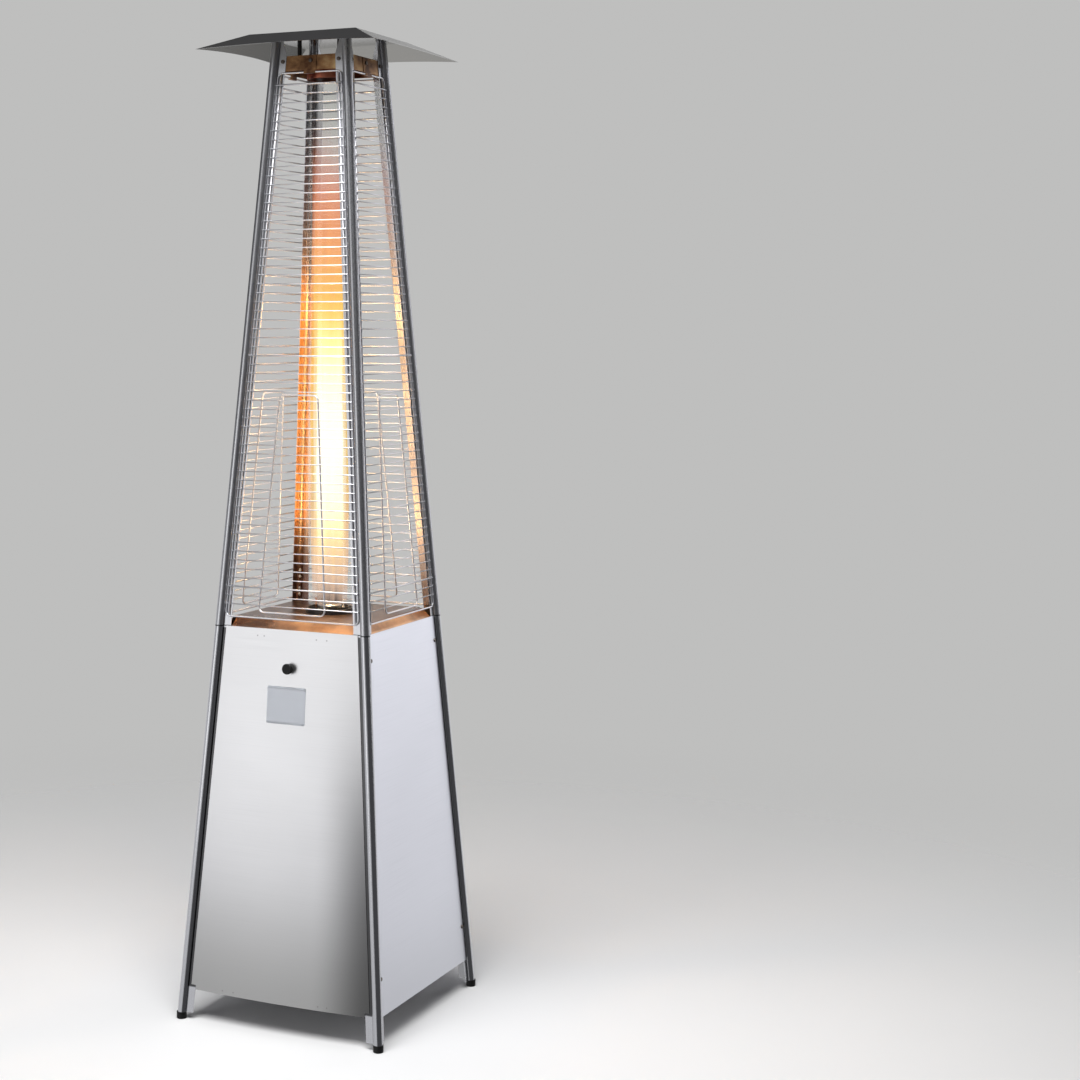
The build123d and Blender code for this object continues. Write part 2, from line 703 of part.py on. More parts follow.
def gas_valve():
    """Valve body behind the box's front, bored for its plug and spindle, with an outlet boss."""
    back = BOX_INNER_FRONT + VALVE_DEPTH
    x = -CONTROL_SPREAD
    body = Pos(x, (BOX_INNER_FRONT + back) / 2, CONTROL_HEIGHT) * Box(VALVE_SIZE, VALVE_DEPTH, VALVE_SIZE)
    body = fillet(body.edges().filter_by(Axis.Y), VALVE_SIZE / 9)
    body = body + along_y(x, CONTROL_HEIGHT, back, back + OUTLET_LENGTH, OUTLET_RADIUS)
    plug_room = along_y(
        x,
        CONTROL_HEIGHT,
        BOX_INNER_FRONT + VALVE_FRONT_WALL,
        back - VALVE_BACK_WALL,
        PLUG_RADIUS + PLUG_PLAY,
    )
    spindle_room = along_y(
        x, CONTROL_HEIGHT, BOX_INNER_FRONT, BOX_INNER_FRONT + VALVE_FRONT_WALL, SPINDLE_RADIUS + SLIP
    )
    pipe_room = along_y(
        x, CONTROL_HEIGHT, back + OUTLET_LENGTH - PIPE_SOCKET, back + OUTLET_LENGTH, PIPE_RADIUS
    )
    return body - plug_room - spindle_room - pipe_room


def valve_plug():
    """Plug that turns in the valve and lets the spindle slide in it."""
    front = BOX_INNER_FRONT + VALVE_FRONT_WALL + SLIP
    back = BOX_INNER_FRONT + VALVE_DEPTH - VALVE_BACK_WALL - SLIP
    plug = along_y(-CONTROL_SPREAD, CONTROL_HEIGHT, front, back, PLUG_RADIUS)
    depth = SPINDLE_DEPTH + KNOB_TRAVEL + SLIP
    return plug - along_y(-CONTROL_SPREAD, CONTROL_HEIGHT, front, front + depth, SPINDLE_RADIUS + PLUG_PLAY)


def valve_spindle():
    """Spindle from the plug to the control knob."""
    back = BOX_INNER_FRONT + VALVE_FRONT_WALL + SPINDLE_DEPTH
    return along_y(-CONTROL_SPREAD, CONTROL_HEIGHT, BOX_FRONT - SPINDLE_REACH, back, SPINDLE_RADIUS)


def control_knob():
    """Knob with a round flange and a bar to grip, pushed onto the spindle."""
    front = Plane(
        origin=(-CONTROL_SPREAD, BOX_FRONT - KNOB_GAP, CONTROL_HEIGHT), x_dir=(1, 0, 0), z_dir=(0, -1, 0)
    )
    flange = extrude(Circle(KNOB_FLANGE_RADIUS), amount=KNOB_FLANGE)
    flange = fillet(flange.edges().sort_by(Axis.Z)[-1], KNOB_FLANGE / 3)
    bar = Circle(KNOB_GRIP_RADIUS) & Rectangle(KNOB_BAR, 2 * KNOB_GRIP_RADIUS)
    grip = extrude(bar, amount=KNOB_GRIP + KNOB_FLANGE)
    grip = fillet(grip.edges().group_by(Axis.Z)[-1], KNOB_BAR / 6)
    hub = extrude(Circle(KNOB_BAR / 2 + SPINDLE_RADIUS / 2), amount=KNOB_FLANGE + KNOB_GRIP / 2)
    socket = extrude(Circle(SPINDLE_RADIUS), amount=SPINDLE_REACH - KNOB_GAP)
    return front * (flange + grip + hub - socket)


def hose_tail():
    """Nut, shoulder and plain tail under the valve that the gas hose is pushed onto."""
    top = CONTROL_HEIGHT - VALVE_SIZE / 2
    shoulder_low = BOX_FLOOR - TAIL_DROP
    tail_low = shoulder_low - TAIL_LENGTH
    nut = extrude(Pos(0, 0, top - TAIL_NUT) * RegularPolygon(TAIL_NUT_RADIUS, 6), amount=TAIL_NUT)
    shoulder = extrude(Pos(0, 0, shoulder_low) * Circle(TAIL_SHOULDER), amount=top - shoulder_low)
    tail = extrude(Pos(0, 0, tail_low) * Circle(TAIL_RADIUS), amount=TAIL_LENGTH)
    bore = extrude(Pos(0, 0, tail_low) * Circle(TAIL_BORE), amount=top - tail_low)
    return Pos(-CONTROL_SPREAD, tail_middle(), 0) * (nut + shoulder + tail - bore)


def injector_inlet():
    """Height of the injector's side inlet."""
    return BOX_INNER_FLOOR + INJECTOR_INLET_RISE


def gas_pipe():
    """Bent pipe from the valve's outlet to the injector."""
    start = BOX_INNER_FRONT + VALVE_DEPTH + OUTLET_LENGTH - PIPE_SOCKET
    points = [
        (-CONTROL_SPREAD, start, CONTROL_HEIGHT),
        (-CONTROL_SPREAD, start + PIPE_RUN, CONTROL_HEIGHT),
        (-PIPE_LOOP, 0, injector_inlet()),
        (-INJECTOR_BOSS + PIPE_SOCKET, 0, injector_inlet()),
    ]
    return bent_tube(points, PIPE_BEND, PIPE_RADIUS, PIPE_RADIUS - PIPE_WALL)


def injector():
    """Brass injector on the box's floor, with a side boss for the pipe."""
    top = BOX_INNER_FLOOR + INJECTOR_HEIGHT
    body = extrude(Pos(0, 0, BOX_INNER_FLOOR) * Circle(INJECTOR_RADIUS), amount=INJECTOR_HEIGHT)
    tip = extrude(Pos(0, 0, top) * Circle(INJECTOR_TIP), amount=INJECTOR_TIP_HEIGHT)
    boss = rod_along((0, 0, injector_inlet()), (-INJECTOR_BOSS, 0, injector_inlet()), OUTLET_RADIUS)
    room = rod_along(
        (-INJECTOR_BOSS, 0, injector_inlet()),
        (-INJECTOR_BOSS + PIPE_SOCKET, 0, injector_inlet()),
        PIPE_RADIUS,
    )
    return body + tip + boss - room


def mixer_tube():
    """Tube with air ports that carries gas and air up into the burner head."""
    top = BURNER_FLOOR + BURNER_SHEET + MIXER_ENTRY
    low = top - MIXER_LENGTH
    tube = ring(MIXER_RADIUS - MIXER_WALL, MIXER_RADIUS, low, top)
    tube = tube + ring(MIXER_RADIUS - MIXER_WALL, MIXER_FLANGE, BURNER_FLOOR - BURNER_SHEET, BURNER_FLOOR)
    for angle in (0, 90):
        port = Rot(0, 0, angle) * Rot(0, 90, 0) * Cylinder(MIXER_PORT, 4 * MIXER_RADIUS)
        tube = tube - Pos(0, 0, low + MIXER_PORT_RISE) * port
    return tube


def burner_tray():
    """Round pan under the deck's hole, with holes for the mixer tube and the two probes."""
    top = DECK_HEIGHT - DECK_SHEET
    pan = extrude(Pos(0, 0, BURNER_FLOOR) * Circle(BURNER_TRAY_RADIUS), amount=top - BURNER_FLOOR)
    pan = pan + extrude(Pos(0, 0, top - BURNER_SHEET) * Circle(BURNER_TRAY_FLANGE), amount=BURNER_SHEET)
    low = BURNER_FLOOR + BURNER_SHEET
    hollow = extrude(Pos(0, 0, low) * Circle(BURNER_TRAY_RADIUS - BURNER_SHEET), amount=top - low)
    pan = pan - hollow - Pos(0, 0, BURNER_FLOOR) * Cylinder(MIXER_RADIUS, 4 * BURNER_SHEET)
    pan = pan - Pos(-PROBE_CIRCLE, 0, BURNER_FLOOR) * Cylinder(PROBE_RADIUS, 4 * BURNER_SHEET)
    return pan - Pos(PROBE_CIRCLE, 0, BURNER_FLOOR) * Cylinder(ELECTRODE_RADIUS, 4 * BURNER_SHEET)


def burner_head():
    """Burner cup with a domed lid and two rows of ports round its wall."""
    low = BURNER_FLOOR + BURNER_SHEET
    inner = HEAD_RADIUS - HEAD_WALL
    head = extrude(Pos(0, 0, low) * Circle(HEAD_RADIUS), amount=HEAD_HEIGHT)
    head = fillet(head.edges().sort_by(Axis.Z)[-1], HEAD_RADIUS / 7)
    hollow = extrude(Pos(0, 0, low + HEAD_WALL) * Circle(inner), amount=HEAD_HEIGHT - 2 * HEAD_WALL)
    head = head - hollow - Pos(0, 0, low) * Cylinder(MIXER_RADIUS, 4 * HEAD_WALL)
    for rise in HEAD_PORT_RISES:
        for number in range(HEAD_PORT_COUNT // 2):
            turn = Rot(0, 0, number * 360 / HEAD_PORT_COUNT) * Rot(0, 90, 0)
            head = head - Pos(0, 0, low + rise) * turn * Cylinder(HEAD_PORT, 4 * HEAD_RADIUS)
    return head


def burner_ring():
    """Dark ring on the deck round the burner, which keeps the glass centred."""
    wall = ring(RING_RADIUS - BURNER_SHEET, RING_RADIUS, DECK_HEIGHT, DECK_HEIGHT + RING_HEIGHT)
    return wall + ring(RING_RADIUS - RING_LEDGE, RING_RADIUS, DECK_HEIGHT, DECK_HEIGHT + BURNER_SHEET)


def thermocouple():
    """Probe beside the burner, with its lead to the back of the valve."""
    x = -PROBE_CIRCLE
    foot_height = BURNER_FLOOR - PROBE_TAIL
    back = BOX_INNER_FRONT + VALVE_DEPTH
    lead_height = CONTROL_HEIGHT + LEAD_SOCKET_SHIFT
    lead_x = -CONTROL_SPREAD - LEAD_SOCKET_SHIFT
    probe = rod_along((x, 0, foot_height), (x, 0, DECK_HEIGHT + PROBE_TIP_RISE), PROBE_RADIUS)
    gland = rod_along((x, 0, BURNER_FLOOR - GLAND_HEIGHT), (x, 0, BURNER_FLOOR), GLAND_RADIUS)
    points = [
        (x, 0, foot_height),
        (x, 0, lead_height),
        (lead_x, back / 2, lead_height),
        (lead_x, back, lead_height),
    ]
    return probe + gland + bent_tube(points, LEAD_BEND, LEAD_RADIUS)


def ignition_electrode():
    """Spark pin in a ceramic rod, held by a gland under the burner tray."""
    x = PROBE_CIRCLE
    ceramic_top = DECK_HEIGHT + PROBE_TIP_RISE / 2
    ceramic = rod_along((x, 0, BURNER_FLOOR - PROBE_TAIL), (x, 0, ceramic_top), ELECTRODE_RADIUS)
    pin = rod_along((x, 0, ceramic_top), (x, 0, DECK_HEIGHT + PROBE_TIP_RISE), ELECTRODE_PIN)
    gland = rod_along((x, 0, BURNER_FLOOR - GLAND_HEIGHT), (x, 0, BURNER_FLOOR), GLAND_RADIUS)
    return ceramic + pin + gland


def ignition_lead():
    """Lead from the igniter to the electrode."""
    back = BOX_FRONT + IGNITER_DEPTH
    points = [
        (PROBE_CIRCLE, 0, BURNER_FLOOR - PROBE_TAIL),
        (PROBE_CIRCLE, 0, CONTROL_HEIGHT),
        (CONTROL_SPREAD, back / 2, CONTROL_HEIGHT),
        (CONTROL_SPREAD, back, CONTROL_HEIGHT),
    ]
    return bent_tube(points, LEAD_BEND, LEAD_RADIUS)


def igniter_body():
    """Igniter through the box's front, with a bezel outside and a guide for its button."""
    front = BOX_FRONT - BEZEL_THICK
    body = along_y(CONTROL_SPREAD, CONTROL_HEIGHT, BOX_FRONT, BOX_FRONT + IGNITER_DEPTH, IGNITER_RADIUS)
    bezel = along_y(CONTROL_SPREAD, CONTROL_HEIGHT, front, BOX_FRONT, BEZEL_RADIUS)
    depth = BUTTON_DEPTH + BUTTON_TRAVEL + SLIP
    guide = along_y(CONTROL_SPREAD, CONTROL_HEIGHT, front, front + depth, BUTTON_RADIUS + SLIP)
    return body + bezel - guide


def igniter_button():
    """Button that slides in the igniter."""
    front = BOX_FRONT - BEZEL_THICK
    button = along_y(
        CONTROL_SPREAD, CONTROL_HEIGHT, front - BUTTON_REACH, front + BUTTON_DEPTH, BUTTON_RADIUS
    )
    return fillet(button.edges().sort_by(Axis.Y)[0], BUTTON_RADIUS / 4)


def tilt_switch():
    """Switch on the box's floor that shuts the gas off when the heater falls over."""
    body = Box(SWITCH_SIZE, SWITCH_SIZE, SWITCH_SIZE, align=(Align.CENTER, Align.CENTER, Align.MIN))
    body = fillet(body.edges().filter_by(Axis.Z), SWITCH_SIZE / 8)
    return Pos(SWITCH_PLACE, SWITCH_PLACE, BOX_INNER_FLOOR) * body


def tube_seat():
    """Ring with a lip on the deck that the glass tube stands in."""
    inner = TUBE_RADIUS - TUBE_WALL - SEAT_PLAY
    base = ring(inner, SEAT_RADIUS, DECK_HEIGHT, TUBE_FOOT)
    return base + ring(TUBE_RADIUS + SEAT_PLAY, SEAT_RADIUS, DECK_HEIGHT, TUBE_FOOT + SEAT_LIP)


def glass_tube():
    """Glass tube round the flame."""
    return ring(TUBE_RADIUS - TUBE_WALL, TUBE_RADIUS, TUBE_FOOT, TUBE_TOP)


def tube_gasket():
    """Flat ring between the top of the glass and the top frame."""
    return ring(TUBE_RADIUS - TUBE_WALL, TUBE_RADIUS, TUBE_TOP, TUBE_TOP + GASKET_THICK)


def tube_collar():
    """Collar under the top frame, round the top of the glass."""
    inner = TUBE_RADIUS + SEAT_PLAY
    under = FRAME_TOP - FRAME_SHEET
    return ring(inner, inner + COLLAR_SHEET, under - COLLAR_DEPTH, under)


def top_frame():
    """Square plate with four turned-down flanges, screwed between the upper posts."""
    low = FRAME_TOP - FRAME_DEPTH
    under = FRAME_TOP - FRAME_SHEET
    outer = frustum(low, spread(low) - WING_FACE, FRAME_TOP, spread(FRAME_TOP) - WING_FACE)
    inner = frustum(
        low, spread(low) - WING_FACE - FRAME_SHEET, under, spread(under) - WING_FACE - FRAME_SHEET
    )
    frame = outer - inner - post_voids(low, FRAME_TOP, POST_RADIUS + CORNER_ROOM)
    frame = frame - Pos(0, 0, FRAME_TOP) * Cylinder(FRAME_HOLE, 4 * FRAME_SHEET)
    for x, y in stud_places():
        frame = frame - Pos(x, y, FRAME_TOP) * Cylinder(STUD_THREAD, 4 * FRAME_SHEET)
    for angle in SIDES.values():
        for plane in wing_screw_planes() + [clip_screw_plane()]:
            frame = frame - turned(angle, drill(plane, SCREW_RADIUS, SCREW_LENGTH))
    return frame


def stud_places():
    """Places of the two studs that hold the hood down on the posts."""
    return [(side * STUD_SPREAD, -STUD_SPREAD) for side in (-1, 1)]


def hood():
    """Thin hood: a flat middle on the posts, four sloping sides, and edges that rise between the corners."""
    run = (HOOD_REACH - HOOD_FLAT) / (HOOD_TOP - HOOD_CORNER_HEIGHT)
    drop = HOOD_SHEET * math.sqrt(1 + 1 / run**2)
    under = HOOD_TOP - HOOD_SHEET
    outer = frustum(HOOD_CORNER_HEIGHT, HOOD_REACH, HOOD_TOP, HOOD_FLAT)
    inner = frustum(
        HOOD_CORNER_HEIGHT, HOOD_REACH - drop * run, under, HOOD_FLAT + (HOOD_SHEET - drop) * run
    )
    shell = outer - inner
    radius = (HOOD_REACH**2 + HOOD_ARCH**2) / (2 * HOOD_ARCH)
    arch_middle = HOOD_CORNER_HEIGHT + HOOD_ARCH - radius
    arch = Pos(0, 0, arch_middle) * Rot(90, 0, 0) * Cylinder(radius, 4 * HOOD_REACH)
    shell = shell - arch - turned(90, arch)
    for x, y in stud_places():
        shell = shell - Pos(x, y, HOOD_TOP) * Cylinder(STUD_THREAD, 4 * HOOD_SHEET)
    return shell


def hood_stud(x, y):
    """Stud between the top frame and the hood, with a thread at each end."""
    under = HOOD_TOP - HOOD_SHEET
    body = extrude(Pos(0, 0, FRAME_TOP) * Circle(STUD_RADIUS), amount=under - FRAME_TOP)
    low = FRAME_TOP - FRAME_SHEET - STUD_END
    thread = extrude(Pos(0, 0, low) * Circle(STUD_THREAD), amount=HOOD_TOP + STUD_END - low)
    return Pos(x, y, 0) * (body + thread)


def hood_nuts():
    """Nuts on both ends of the studs."""
    nut = extrude(RegularPolygon(NUT_RADIUS, 6) - Circle(STUD_THREAD), amount=NUT_HEIGHT)
    nuts = []
    for x, y in stud_places():
        nuts.append(Pos(x, y, HOOD_TOP) * nut)
        nuts.append(Pos(x, y, FRAME_TOP - FRAME_SHEET - NUT_HEIGHT) * nut)
    return nuts


def guard_point(x, height, offset):
    """Point at a distance in front of the line of the front posts."""
    return (x, -(spread(height) + offset), height)


def guard_loop(low, high, inset):
    """Rod bent to a closed four-sided loop with round corners, parallel to the posts."""
    low_half = spread(low) - inset
    high_half = spread(high) - inset
    corners = [
        guard_point(low_half, low, GUARD_ROD_OFFSET),
        guard_point(high_half, high, GUARD_ROD_OFFSET),
        guard_point(-high_half, high, GUARD_ROD_OFFSET),
        guard_point(-low_half, low, GUARD_ROD_OFFSET),
    ]
    path = FilletPolyline(*corners, radius=GUARD_CORNER, close=True)
    start = Plane(origin=path @ 0, z_dir=path % 0)
    return sweep(start * RegularPolygon(GUARD_ROD, GUARD_WIRE_SIDES), path=path)


def guard():
    """Wire guard of the front: a rod frame, two more uprights, a hoop and the cross wires."""
    pieces = [
        guard_loop(GUARD_FOOT, GUARD_TOP, GUARD_INSET),
        guard_loop(HOOP_FOOT, HOOP_FOOT + HOOP_HEIGHT, HOOP_INSET),
    ]
    bend = GUARD_CORNER - GUARD_ROD
    aside = GUARD_CORNER - GUARD_SECOND_INSET + GUARD_INSET + GUARD_ROD
    bend_rise = math.sqrt(max(bend**2 - max(aside, 0) ** 2, 0))
    end_gap = GUARD_CORNER - bend_rise + GUARD_END_PLAY
    low = GUARD_FOOT + end_gap
    high = GUARD_TOP - end_gap
    for side in (-1, 1):
        start = guard_point(side * (spread(low) - GUARD_SECOND_INSET), low, GUARD_ROD_OFFSET)
        end = guard_point(side * (spread(high) - GUARD_SECOND_INSET), high, GUARD_ROD_OFFSET)
        pieces.append(wire_along(start, end, GUARD_ROD))
    for number in range(GUARD_WIRE_COUNT):
        height = GUARD_TOP - GUARD_FIRST_DROP - number * GUARD_PITCH
        radius = GUARD_ROD if number in GUARD_THICK_WIRES else GUARD_WIRE
        offset = GUARD_ROD_OFFSET + GUARD_ROD + WELD_PLAY + radius
        half = spread(height) - POST_RADIUS - PANEL_GAP
        start = guard_point(-half, height, offset)
        end = guard_point(half, height, offset)
        pieces.append(wire_along(start, end, radius))
    return pieces


def guard_clip():
    """Clip on the top frame that hooks round the guard's upper rod."""
    back = -WING_FACE
    face = back + CLIP_SHEET
    shelf_top = GUARD_TOP - GUARD_ROD - WELD_PLAY
    shelf = shelf_top - CLIP_SHEET
    lip = GUARD_ROD_OFFSET + GUARD_ROD + WELD_PLAY
    upright = front_block(0, CLIP_WIDTH, shelf, FRAME_TOP - FRAME_SHEET, back, face)
    floor = front_block(0, CLIP_WIDTH, shelf, shelf_top, back, lip + CLIP_SHEET)
    edge = front_block(0, CLIP_WIDTH, shelf, shelf + CLIP_LIP, lip, lip + CLIP_SHEET)
    return upright + floor + edge - drill(clip_screw_plane(), SCREW_RADIUS, SCREW_LENGTH)


def save(name, *pieces):
    """Write a node of one or more solids."""
    shape = pieces[0] if len(pieces) == 1 else Compound(list(pieces))
    export_step(shape, f"parts/{name}.step")


def all_nodes():
    """Every node's name with its pieces."""
    nodes = {}
    for name, corner in CORNERS.items():
        nodes[f"foot_{name}"] = [foot(corner)]
        nodes[f"lower_post_{name}"] = [post(corner, FOOT_HEIGHT, JOINT_HEIGHT)]
        nodes[f"upper_post_{name}"] = [post(corner, JOINT_HEIGHT, POST_TOP)]
    nodes["post_splices"] = [splice(corner) for corner in CORNERS.values()]
    flat_panel = panel()
    front_guard = guard()
    clip = guard_clip()
    for name, angle in SIDES.items():
        nodes[f"guard_{name}"] = [turned(angle, piece) for piece in front_guard]
        if name != "front":
            nodes[f"panel_{name}"] = [turned(angle, flat_panel)]
    nodes["guard_clips"] = [turned(angle, clip) for angle in SIDES.values()]
    nodes["panel_screws"] = [
        turned(angle, screw(plane))
        for name, angle in SIDES.items()
        if name != "front"
        for plane in panel_screw_planes()
    ]
    nodes["frame_screws"] = [
        turned(angle, screw(plane))
        for angle in SIDES.values()
        for plane in wing_screw_planes() + [clip_screw_plane()]
    ]
    nodes["front_door"] = [front_door()]
    nodes["door_hooks"] = [door_hook(side) for side in (-1, 1)]
    nodes["door_strikes"] = [door_strike(side) for side in (-1, 1)]
    nodes["magnet_catches"] = [magnet(side) for side in (-1, 1)]
    nodes["pull_knob"] = [pull_knob()]
    nodes["pull_knob_screw"] = [pull_knob_screw()]
    nodes["bottle_tray"] = [bottle_tray()]
    nodes["door_rod"] = [door_rod()]
    nodes["deck_plate"] = [deck_plate()]
    nodes["control_box"] = [control_box()]
    nodes["gas_valve"] = [gas_valve()]
    nodes["valve_plug"] = [valve_plug()]
    nodes["valve_spindle"] = [valve_spindle()]
    nodes["control_knob"] = [control_knob()]
    nodes["hose_tail"] = [hose_tail()]
    nodes["gas_pipe"] = [gas_pipe()]
    nodes["injector"] = [injector()]
    nodes["mixer_tube"] = [mixer_tube()]
    nodes["burner_tray"] = [burner_tray()]
    nodes["burner_head"] = [burner_head()]
    nodes["burner_ring"] = [burner_ring()]
    nodes["thermocouple"] = [thermocouple()]
    nodes["ignition_electrode"] = [ignition_electrode()]
    nodes["ignition_lead"] = [ignition_lead()]
    nodes["igniter_body"] = [igniter_body()]
    nodes["igniter_button"] = [igniter_button()]
    nodes["tilt_switch"] = [tilt_switch()]
    nodes["tube_seat"] = [tube_seat()]
    nodes["glass_tube"] = [glass_tube()]
    nodes["tube_gasket"] = [tube_gasket()]
    nodes["tube_collar"] = [tube_collar()]
    nodes["top_frame"] = [top_frame()]
    nodes["hood"] = [hood()]
    nodes["hood_studs"] = [hood_stud(x, y) for x, y in stud_places()]
    nodes["hood_nuts"] = hood_nuts()
    return nodes


os.makedirs("parts", exist_ok=True)
for node_name, node_pieces in all_nodes().items():
    save(node_name, *node_pieces)
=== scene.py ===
"""Looks of a tall gas heater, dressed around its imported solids. Metres, +Z up, the door faces -Y."""

import logging
import math
from dataclasses import dataclass
from enum import Enum
from typing import Any, Dict, List, Optional, Sequence, Tuple, Union

import bmesh
import bpy
from bmesh.types import BMesh, BMVert
from bpy.types import ID, ColorRamp, Material, Node, NodeSocket, Object, World
from mathutils import Matrix, Vector


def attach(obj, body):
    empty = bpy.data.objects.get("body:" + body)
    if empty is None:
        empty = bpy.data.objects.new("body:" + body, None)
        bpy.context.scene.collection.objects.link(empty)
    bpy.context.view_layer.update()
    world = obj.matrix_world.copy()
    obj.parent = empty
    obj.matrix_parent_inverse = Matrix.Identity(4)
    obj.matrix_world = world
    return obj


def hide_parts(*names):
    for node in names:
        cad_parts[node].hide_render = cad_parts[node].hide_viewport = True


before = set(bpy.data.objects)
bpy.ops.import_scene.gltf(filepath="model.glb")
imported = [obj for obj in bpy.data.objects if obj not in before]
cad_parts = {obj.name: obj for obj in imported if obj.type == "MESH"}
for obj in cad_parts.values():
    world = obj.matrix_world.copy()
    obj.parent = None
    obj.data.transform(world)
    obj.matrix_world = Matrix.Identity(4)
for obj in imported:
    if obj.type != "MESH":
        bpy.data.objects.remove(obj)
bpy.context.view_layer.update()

LOG = logging.getLogger("heater")
BODY = "heater"
DOOR = "door"
IMAGE_SIDE = 1080

Colour = Tuple[float, float, float]
Point = Tuple[float, float, float]
Span = Tuple[float, float]  # where a smooth rise starts and ends
Stops = Tuple[Tuple[float, Colour], ...]  # positions on a ramp with their colours

# The flame's colours from its foot to its tip, in the outer veil and in its heart
VEIL_STOPS: Stops = (
    (0.0, (0.74, 0.54, 0.45)),
    (0.12, (0.98, 0.58, 0.29)),
    (0.3, (1.0, 0.62, 0.12)),
    (0.5, (1.0, 0.54, 0.09)),
    (0.66, (1.0, 0.41, 0.14)),
    (0.8, (0.84, 0.26, 0.12)),
    (1.0, (0.62, 0.22, 0.13)),
)
HEART_STOPS: Stops = (
    (0.0, (0.76, 0.60, 0.51)),
    (0.055, (0.98, 0.70, 0.50)),
    (0.125, (1.0, 0.80, 0.42)),
    (0.205, (1.0, 0.95, 0.78)),
    (0.3, (1.0, 1.0, 0.94)),
    (0.39, (1.0, 0.97, 0.86)),
    (0.485, (1.0, 0.93, 0.56)),
    (0.58, (1.0, 0.77, 0.22)),
    (0.68, (1.0, 0.52, 0.23)),
    (0.8, (0.86, 0.29, 0.15)),
    (1.0, (0.62, 0.22, 0.13)),
)

# Weld spots on the door: places across it, by height
WELD_ROWS: Dict[float, Tuple[float, ...]] = {
    0.895: (-0.085, -0.068, 0.065, 0.091),
    0.081: (-0.143, -0.114, 0.104, 0.126),
}


class Grain(Enum):
    """Which way the brush marks of a sheet or tube run."""

    LEVEL = (5.0, 5.0, 900.0)
    UPRIGHT = (700.0, 700.0, 3.0)
    NONE = (60.0, 60.0, 60.0)


class Value:
    """A number socket that takes part in Python expressions."""

    def __init__(self, shader: "Shader", socket: NodeSocket) -> None:
        """Keep the socket and the shader it belongs to.

        Args:
            shader: The shader whose node tree holds the socket.
            socket: An output socket that gives a number.
        """
        self.shader = shader
        self.socket = socket

    def _maths(self, operation: str, first: Any, second: Any = 0.0) -> "Value":
        """Add one Math node.

        Args:
            operation: The Math node's operation.
            first: Its first number or value.
            second: Its second number or value.

        Returns:
            The node's result.
        """
        node = self.shader.node("ShaderNodeMath", {"operation": operation}, {0: first, 1: second})
        return Value(self.shader, node.outputs[0])

    def __add__(self, other: Any) -> "Value":
        """Add."""
        return self._maths("ADD", self, other)

    __radd__ = __add__

    def __sub__(self, other: Any) -> "Value":
        """Take away."""
        return self._maths("SUBTRACT", self, other)

    def __rsub__(self, other: Any) -> "Value":
        """Take away from a plain number."""
        return self._maths("SUBTRACT", other, self)

    def __mul__(self, other: Any) -> "Value":
        """Multiply."""
        return self._maths("MULTIPLY", self, other)

    __rmul__ = __mul__

    def __truediv__(self, other: Any) -> "Value":
        """Divide."""
        return self._maths("DIVIDE", self, other)

    def __pow__(self, other: Any) -> "Value":
        """Raise to a power."""
        return self._maths("POWER", self, other)

    def __abs__(self) -> "Value":
        """Drop the sign."""
        return self._maths("ABSOLUTE", self)

    def larger(self, other: Any) -> "Value":
        """Take the larger of two numbers."""
        return self._maths("MAXIMUM", self, other)

    def step(self, low: float, high: float) -> "Value":
        """Rise smoothly from 0 to 1.

        Args:
            low: The number where the rise starts.
            high: The number where it ends.

        Returns:
            The smooth step.
        """
        settings = {"interpolation_type": "SMOOTHSTEP"}
        node = self.shader.node("ShaderNodeMapRange", settings, {0: self, 1: low, 2: high, 3: 0.0, 4: 1.0})
        return Value(self.shader, node.outputs[0])

    def band(self, low: float, high: float, edge: float) -> "Value":
        """Give 1 between two numbers and 0 outside them.

        Args:
            low: The band's lower end.
            high: The band's upper end.
            edge: The width of its soft edges.

        Returns:
            The band's mask.
        """
        return self.step(low - edge, low) * (1 - self.step(high, high + edge))


